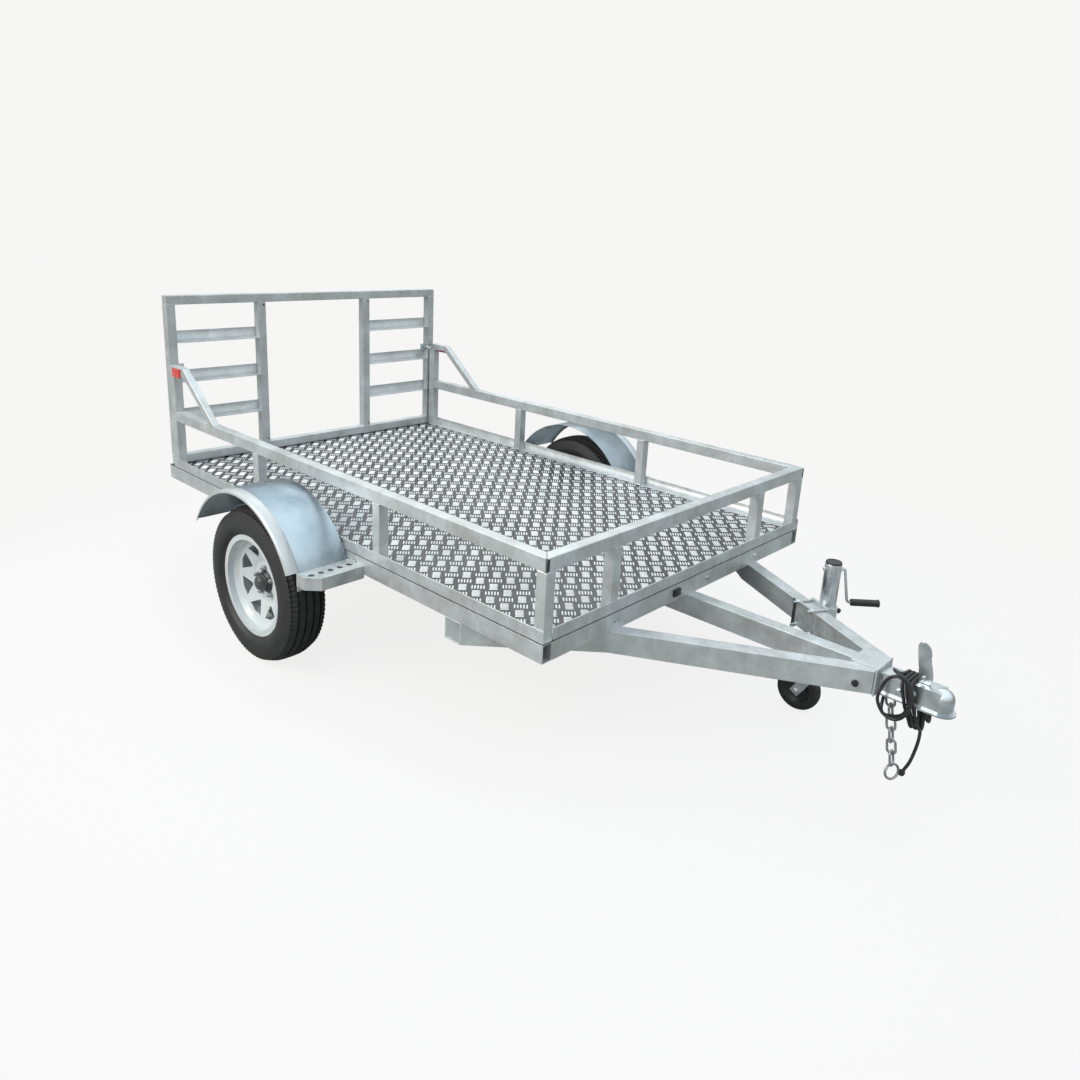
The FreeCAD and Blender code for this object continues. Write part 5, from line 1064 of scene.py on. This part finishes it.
class TRAILER_OT_jockey(bpy.types.Operator):
    """Finish the jockey wheel, its crank and clamp"""

    bl_idname = "trailer.jockey"
    bl_label = "Jockey wheel"

    def execute(self, context):
        low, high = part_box("jockey_tube")
        self.middle = Vector(((low[0] + high[0]) / 2, (low[1] + high[1]) / 2, 0))
        self.pin = middle_of("jockey_wheel")
        turn = math.radians(42.5)
        self.ahead = Vector((math.cos(turn), math.sin(turn), 0))
        softened("jockey_clamp", "Galvanised Steel", 0.001)
        dress("jockey_leg", "Bright Zinc")
        softened("jockey_fork", "Bright Zinc", 0.0008)
        self.tube()
        self.crank()
        self.wheel()
        self.clamp_parts()
        return {"FINISHED"}

    def up(self, height, out=0.0):
        """A point at a height, out from the tube's axis towards the crank."""
        return self.middle + self.ahead * out + Vector((0, 0, height))

    def tube(self):
        """The outer tube with its collar, open below for the leg, and the black cap in its top."""
        bm = bmesh.new()
        add_ring(bm, self.middle, (0, 0, 1),
                 [(0.345, 0.0262), (0.345, 0.0276), (0.3465, 0.0280), (0.5565, 0.0280), (0.5570, 0.0285),
                  (0.5800, 0.0285), (0.5815, 0.0278), (0.5815, 0.0262)], 56)
        for side in SIDES:
            add_bolt(bm, self.up(0.5595, side * 0.0283), self.ahead * side, 0.006, 0.004)
        add_piece("outer_tube", bm, "Bright Zinc", "root", 35, ["jockey_tube"])
        bm = bmesh.new()
        add_turned(bm, self.middle, (0, 0, 1),
                   [(0.5765, 0), (0.5765, 0.0260), (0.5815, 0.0260), (0.5815, 0.0272), (0.5865, 0.0272),
                    (0.5885, 0.0258), (0.5888, 0.0225), (0.5872, 0.0215), (0.5870, 0.0)], 56)
        add_piece("tube_cap", bm, "Black Plastic", "root", 35)

    def crank(self):
        """A bent round rod hanging from the tube's collar to a ribbed grip."""
        points = [self.up(height, out) for out, height in
                  ((0.0275, 0.5645), (0.034, 0.5645), (0.0395, 0.5625), (0.0425, 0.556), (0.0440, 0.548),
                   (0.0605, 0.462), (0.0625, 0.452), (0.0655, 0.4445), (0.0715, 0.4412), (0.079, 0.441),
                   (0.084, 0.441))]
        bm = bmesh.new()
        add_swept(bm, points, 0.0048, 12)
        add_piece("crank_rod", bm, "Bright Zinc", "root", 50, ["jockey_crank"])
        rings = [(0, 0), (0, 0.0085), (0.002, 0.0118), (0.006, 0.0124)]
        for rib in range(9):
            base = 0.009 + rib * 0.0095
            rings += [(base, 0.0126), (base + 0.0014, 0.0118), (base + 0.0030, 0.0118), (base + 0.0044, 0.0126)]
        rings += [(0.0925, 0.0128), (0.0945, 0.0137), (0.0975, 0.0137), (0.0992, 0.0122), (0.0995, 0.0)]
        bm = bmesh.new()
        add_turned(bm, self.up(0.441, 0.0765), self.ahead, rings, 28)
        add_piece("crank_grip", bm, "Black Plastic", "root", 35)

    def wheel(self):
        """Solid rubber tyre with a moulded tread line on a black hub, and the nuts on its pin."""
        bm = bmesh.new()
        tyre = mirrored([(-0.019, 0.046), (-0.0215, 0.050), (-0.022, 0.058), (-0.0212, 0.068),
                         (-0.0175, 0.0755), (-0.010, 0.0792), (-0.0035, 0.08), (-0.0030, 0.0785)])
        add_ring(bm, self.pin, (0, 1, 0), tyre, 72, math.pi / 2)
        add_piece("castor_tyre", bm, "Castor Rubber", "nose_wheel", 50, ["jockey_wheel"])
        bm = bmesh.new()
        hub = mirrored([(-0.021, 0.0072), (-0.021, 0.016), (-0.0125, 0.0175), (-0.0105, 0.030),
                        (-0.0125, 0.040), (-0.0195, 0.0462)])
        add_ring(bm, self.pin, (0, 1, 0), hub, 48)
        add_piece("castor_hub", bm, "Black Plastic", "nose_wheel", 40)
        bm = bmesh.new()
        for side in SIDES:
            add_bolt(bm, self.pin + Vector((0, side * 0.0287, 0)), (0, side, 0), 0.0085, 0.006)
        add_piece("castor_nuts", bm, "Bright Zinc", "castor", 35)

    def clamp_parts(self):
        """The clamp's nuts, a rubber sleeve with two collars on its inner plate, and a black button outside."""
        along = Vector((BEAM_COS, -BEAM_SIN, 0))
        inward = Vector((-BEAM_SIN, -BEAM_COS, 0))
        nuts = bmesh.new()
        rubber = bmesh.new()
        tube_radius, gap, beam, thickness = 0.0285, 0.0055, 0.050, 0.008
        bolt_out, sleeve_out, sleeve_foot, sleeve_length = 0.040, 0.054, 0.338, 0.100
        plate = self.middle + inward * (tube_radius + gap + beam + thickness)
        for end, level in product(SIDES, (0.430, 0.345)):
            spot = plate + along * end * bolt_out + Vector((0, 0, level))
            add_bolt(nuts, spot, inward, 0.0075, 0.007)
            add_stud(nuts, spot + inward * 0.007, inward, 0.0036, 0.010)
        sleeve = plate - along * sleeve_out + inward * 0.001
        add_turned(rubber, sleeve + Vector((0, 0, sleeve_foot)), (0, 0, 1),
                   [(0, 0), (0, 0.0058), (sleeve_length, 0.0058), (sleeve_length, 0)], 20)
        for level in (0.334, 0.438):
            add_turned(nuts, sleeve + Vector((0, 0, level - 0.0035)), (0, 0, 1),
                       [(0, 0), (0, 0.008), (0.006, 0.008), (0.006, 0)], 16)
        outer = self.middle - inward * 0.0365 + along * 0.006
        add_turned(rubber, outer + along * 0.006 + Vector((0, 0, 0.408)), (0.94, -0.34, 0),
                   [(0, 0), (0, 0.009), (0.006, 0.009), (0.007, 0.007), (0.007, 0)], 20)
        add_piece("clamp_nuts", nuts, "Bright Zinc", "root", 35)
        add_piece("clamp_rubber", rubber, "Black Plastic", "root", 35)


# Fastenings


class TRAILER_OT_fastenings(bpy.types.Operator):
    """Run the weld beads and fit the frame's bolts"""

    bl_idname = "trailer.fastenings"
    bl_label = "Welds and bolts"

    def execute(self, context):
        self.shake = random.Random(11)
        for name, body, lay in (("weld_beads", "root", self.post_welds),
                                ("gate_weld_beads", "tailgate", self.gate_welds)):
            self.beads = bmesh.new()
            lay()
            add_piece(name, self.beads, "Weld Bead", body, 60)
        self.frame_bolts()
        self.open_ends()
        self.lamp_plates()
        return {"FINISHED"}

    def bead(self, start, end):
        """One rippled bead between two points."""
        radius, ripple = 0.0022, 0.0045
        start = Vector(start)
        span = Vector(end) - start
        count = max(4, int(span.length / ripple))
        points = []
        sizes = []
        for index in range(count + 1):
            points.append(start + span * index / count)
            swell = 1.0 if index % 2 else 0.82
            fade = min(1.0, 0.5 + 2.2 * min(index, count - index) / count)
            sizes.append(radius * swell * fade * self.shake.uniform(0.9, 1.1))
        add_swept(self.beads, points, sizes, 5)

    def around(self, rear, middle, level):
        """Beads along the four sides of an upright tube at one level."""
        tube = 0.040
        front, right, left = rear + tube, middle - tube / 2, middle + tube / 2
        corners = [(rear, right), (front, right), (front, left), (rear, left)]
        for first, second in zip(corners, corners[1:] + corners[:1]):
            self.bead((*first, level), (*second, level))

    def post_welds(self):
        """Round the head and the foot of every post."""
        posts = [(x, side * 0.746) for x in (46, 750, 1545, 2316) for side in SIDES]
        posts += [(2316, side * 0.440) for side in SIDES]
        for (x, middle), level in product(posts, (0.7045, 0.4925)):
            self.around(REAR + x / 1000, middle, level)

    def gate_welds(self):
        """Round the gate's uprights, and down and under the ends of its rungs."""
        rungs, rung_pitch = 3, 0.178
        for middle, level in product((-0.738, -0.300, 0.300, 0.738), (0.5335, 1.2155)):
            self.around(REAR, middle, level)
        for number in range(rungs):
            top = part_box("gate_rungs")[1][2] - rung_pitch * number
            foot = top - 0.048
            for side, y in product(SIDES, (0.7175, 0.3205)):
                self.bead((REAR + 0.001, side * y, top - 0.002), (REAR + 0.001, side * y, foot))
                self.bead((REAR + 0.004, side * y, foot), (REAR + 0.038, side * y, foot))

    def frame_bolts(self):
        """Bolts of the front member and the steps, and the black grommet where the cable enters the frame."""
        bm = bmesh.new()
        for side in SIDES:
            for y in (96, 430):
                add_bolt(bm, from_rear(2360, side * y, 455), (1, 0, 0), 0.008)
            for x in (1408, 1448):
                add_bolt(bm, from_rear(x, side * 770, 462), (0, side, 0), 0.008)
        add_piece("frame_bolts", bm, "Bright Zinc", "root", 35)
        bm = bmesh.new()
        add_block(bm, from_rear(2359.5, -118, 444), from_rear(2368, -80, 470), 0.002)
        add_piece("cable_grommet", bm, "Black Plastic", "root", 40)

    def open_ends(self):
        """Near-black plates as painted shade in the open ends of the top rail's side tubes at the front
        corners, and near-black discs as painted shade for the gate's vent holes.
        """
        bm = bmesh.new()
        # Thin near-black plates: painted shade inside the open tube ends.
        add_block_pair(bm, (REAR + 2.3555, 0.7555, 0.709), (REAR + 2.3563, 0.7645, 0.746))
        add_piece("rail_slot_shade", bm, "Open Tube", "root")
        bm = bmesh.new()
        # Near-black discs: painted shade inside the vent holes.
        for middle, z in product((-0.300, 0.300), (0.548, 1.203)):
            spot = Vector((REAR + 0.0400, middle + 0.010, z))
            add_turned(bm, spot, (1, 0, 0),
                       [(-0.0005, 0), (-0.0005, 0.0045), (0.0003, 0.0045), (0.0003, 0)], 16)
        add_piece("gate_vent_shade", bm, "Open Tube", "tailgate")

    def lamp_plates(self):
        """Plates hanging under the outer ends of the steps, each with a near-black block as painted shade in
        its slot.
        """
        low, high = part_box("steps")
        rear, outer = low[0] + 0.0006, high[1] - 0.0012
        bm = bmesh.new()
        add_block_pair(bm, (rear, outer - 0.100, 0.391), (rear + 0.0025, outer, 0.4125), 0.0006)
        # Near-black blocks: painted shade inside the plates' slots.
        add_block_pair(bm, (rear - 0.0004, outer - 0.075, 0.3965), (rear + 0.0030, outer - 0.030, 0.4085), 0, 1)
        add_piece("step_plates", bm, ["Galvanised Steel", "Open Tube"], "root", 40)


# Rear and running gear


class TRAILER_OT_rear(bpy.types.Operator):
    """Fit the lamps, the blank plate, reflectors, hinges and latches"""

    bl_idname = "trailer.rear"
    bl_label = "Rear fittings"

    def execute(self, context):
        for node in ("hinge_knuckles", "gate_hinges", "gate_latches"):
            softened(node, "Bright Zinc", 0.0008)
        bm = bmesh.new()
        add_block_pair(bm, (REAR - 0.0235, 0.5605, 0.3955), (REAR, 0.7095, 0.4745), 0.003)
        for inner, outer, lens in ((0.564, 0.661, 1), (0.663, 0.706, 2)):
            add_block_pair(bm, (REAR - 0.0335, inner, 0.3995), (REAR - 0.020, outer, 0.4705), 0.003, lens)
        add_piece("lamp_clusters", bm, ["Black Plastic", "Red Lens", "Amber Lens"], "root", 40, ["tail_lamps"])
        bm = bmesh.new()
        add_block(bm, (REAR - 0.0028, -0.1495, 0.3855), (REAR, 0.1495, 0.4745), 0.0009)
        add_piece("blank_plate", bm, "Plate White", "root", 40, ["number_plate"])
        inset = 0.0005
        low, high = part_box("side_reflectors")
        bm = bmesh.new()
        add_block_pair(bm, (low[0] + inset, 0.766, low[2] + inset),
                       (high[0] - inset, 0.7715, high[2] - inset), 0.0015)
        add_piece("red_reflectors", bm, "Red Reflector", "root", 40, ["side_reflectors"])
        return {"FINISHED"}


class TRAILER_OT_axle(bpy.types.Operator):
    """Paint the axle, springs and their clamps"""

    bl_idname = "trailer.axle"
    bl_label = "Axle and springs"

    def execute(self, context):
        softened("axle_beam", "Black Axle Paint", 0.002)
        for node in ("leaf_springs", "spring_hangers"):
            softened(node, "Black Axle Paint", 0.0008)
        softened("spring_clamps", "Bright Zinc", 0.0008)
        bm = bmesh.new()
        for side, x, y in product(SIDES, (AXLE.x - 0.0275, AXLE.x + 0.0275), (0.757, 0.7175)):
            add_bolt(bm, Vector((x, side * y, 0.2648)), (0, 0, -1), 0.0075, 0.007)
        add_piece("spring_nuts", bm, "Bright Zinc", "root", 35)
        return {"FINISHED"}


class TRAILER_PT_panel(bpy.types.Panel):
    """Steps that build the trailer"""

    bl_label = "Flatbed Trailer"
    bl_idname = "TRAILER_PT_panel"
    bl_space_type = "VIEW_3D"
    bl_region_type = "UI"
    bl_category = "Trailer"

    def draw(self, context):
        for step in STEPS:
            self.layout.operator(step.bl_idname)
        for name in SETTINGS:
            box = self.layout.box()
            group = getattr(context.scene, name)
            for label in group.__annotations__:
                box.prop(group, label)


STEPS = (TRAILER_OT_stage, TRAILER_OT_cable, TRAILER_OT_frame, TRAILER_OT_deck, TRAILER_OT_mudguards,
         TRAILER_OT_wheels, TRAILER_OT_coupling, TRAILER_OT_jockey, TRAILER_OT_fastenings, TRAILER_OT_rear,
         TRAILER_OT_axle)
SETTINGS = {"trailer_finish": TrailerFinish, "trailer_deck": TrailerDeck, "trailer_tyre": TrailerTyre,
            "trailer_cable": TrailerCable, "trailer_stage": TrailerStage}


def register():
    for group in SETTINGS.values():
        bpy.utils.register_class(group)
    for name, group in SETTINGS.items():
        setattr(bpy.types.Scene, name, PointerProperty(type=group))
    for step in STEPS:
        bpy.utils.register_class(step)
    bpy.utils.register_class(TRAILER_PT_panel)


def unregister():
    bpy.utils.unregister_class(TRAILER_PT_panel)
    for step in reversed(STEPS):
        bpy.utils.unregister_class(step)
    for name, group in SETTINGS.items():
        delattr(bpy.types.Scene, name)
        bpy.utils.unregister_class(group)


def main():
    register()
    Finishes().make_all(bpy.context.scene.trailer_finish)
    for step in STEPS:
        group, name = step.bl_idname.split(".")
        getattr(getattr(bpy.ops, group), name)()


if __name__ == "__main__":
    main()
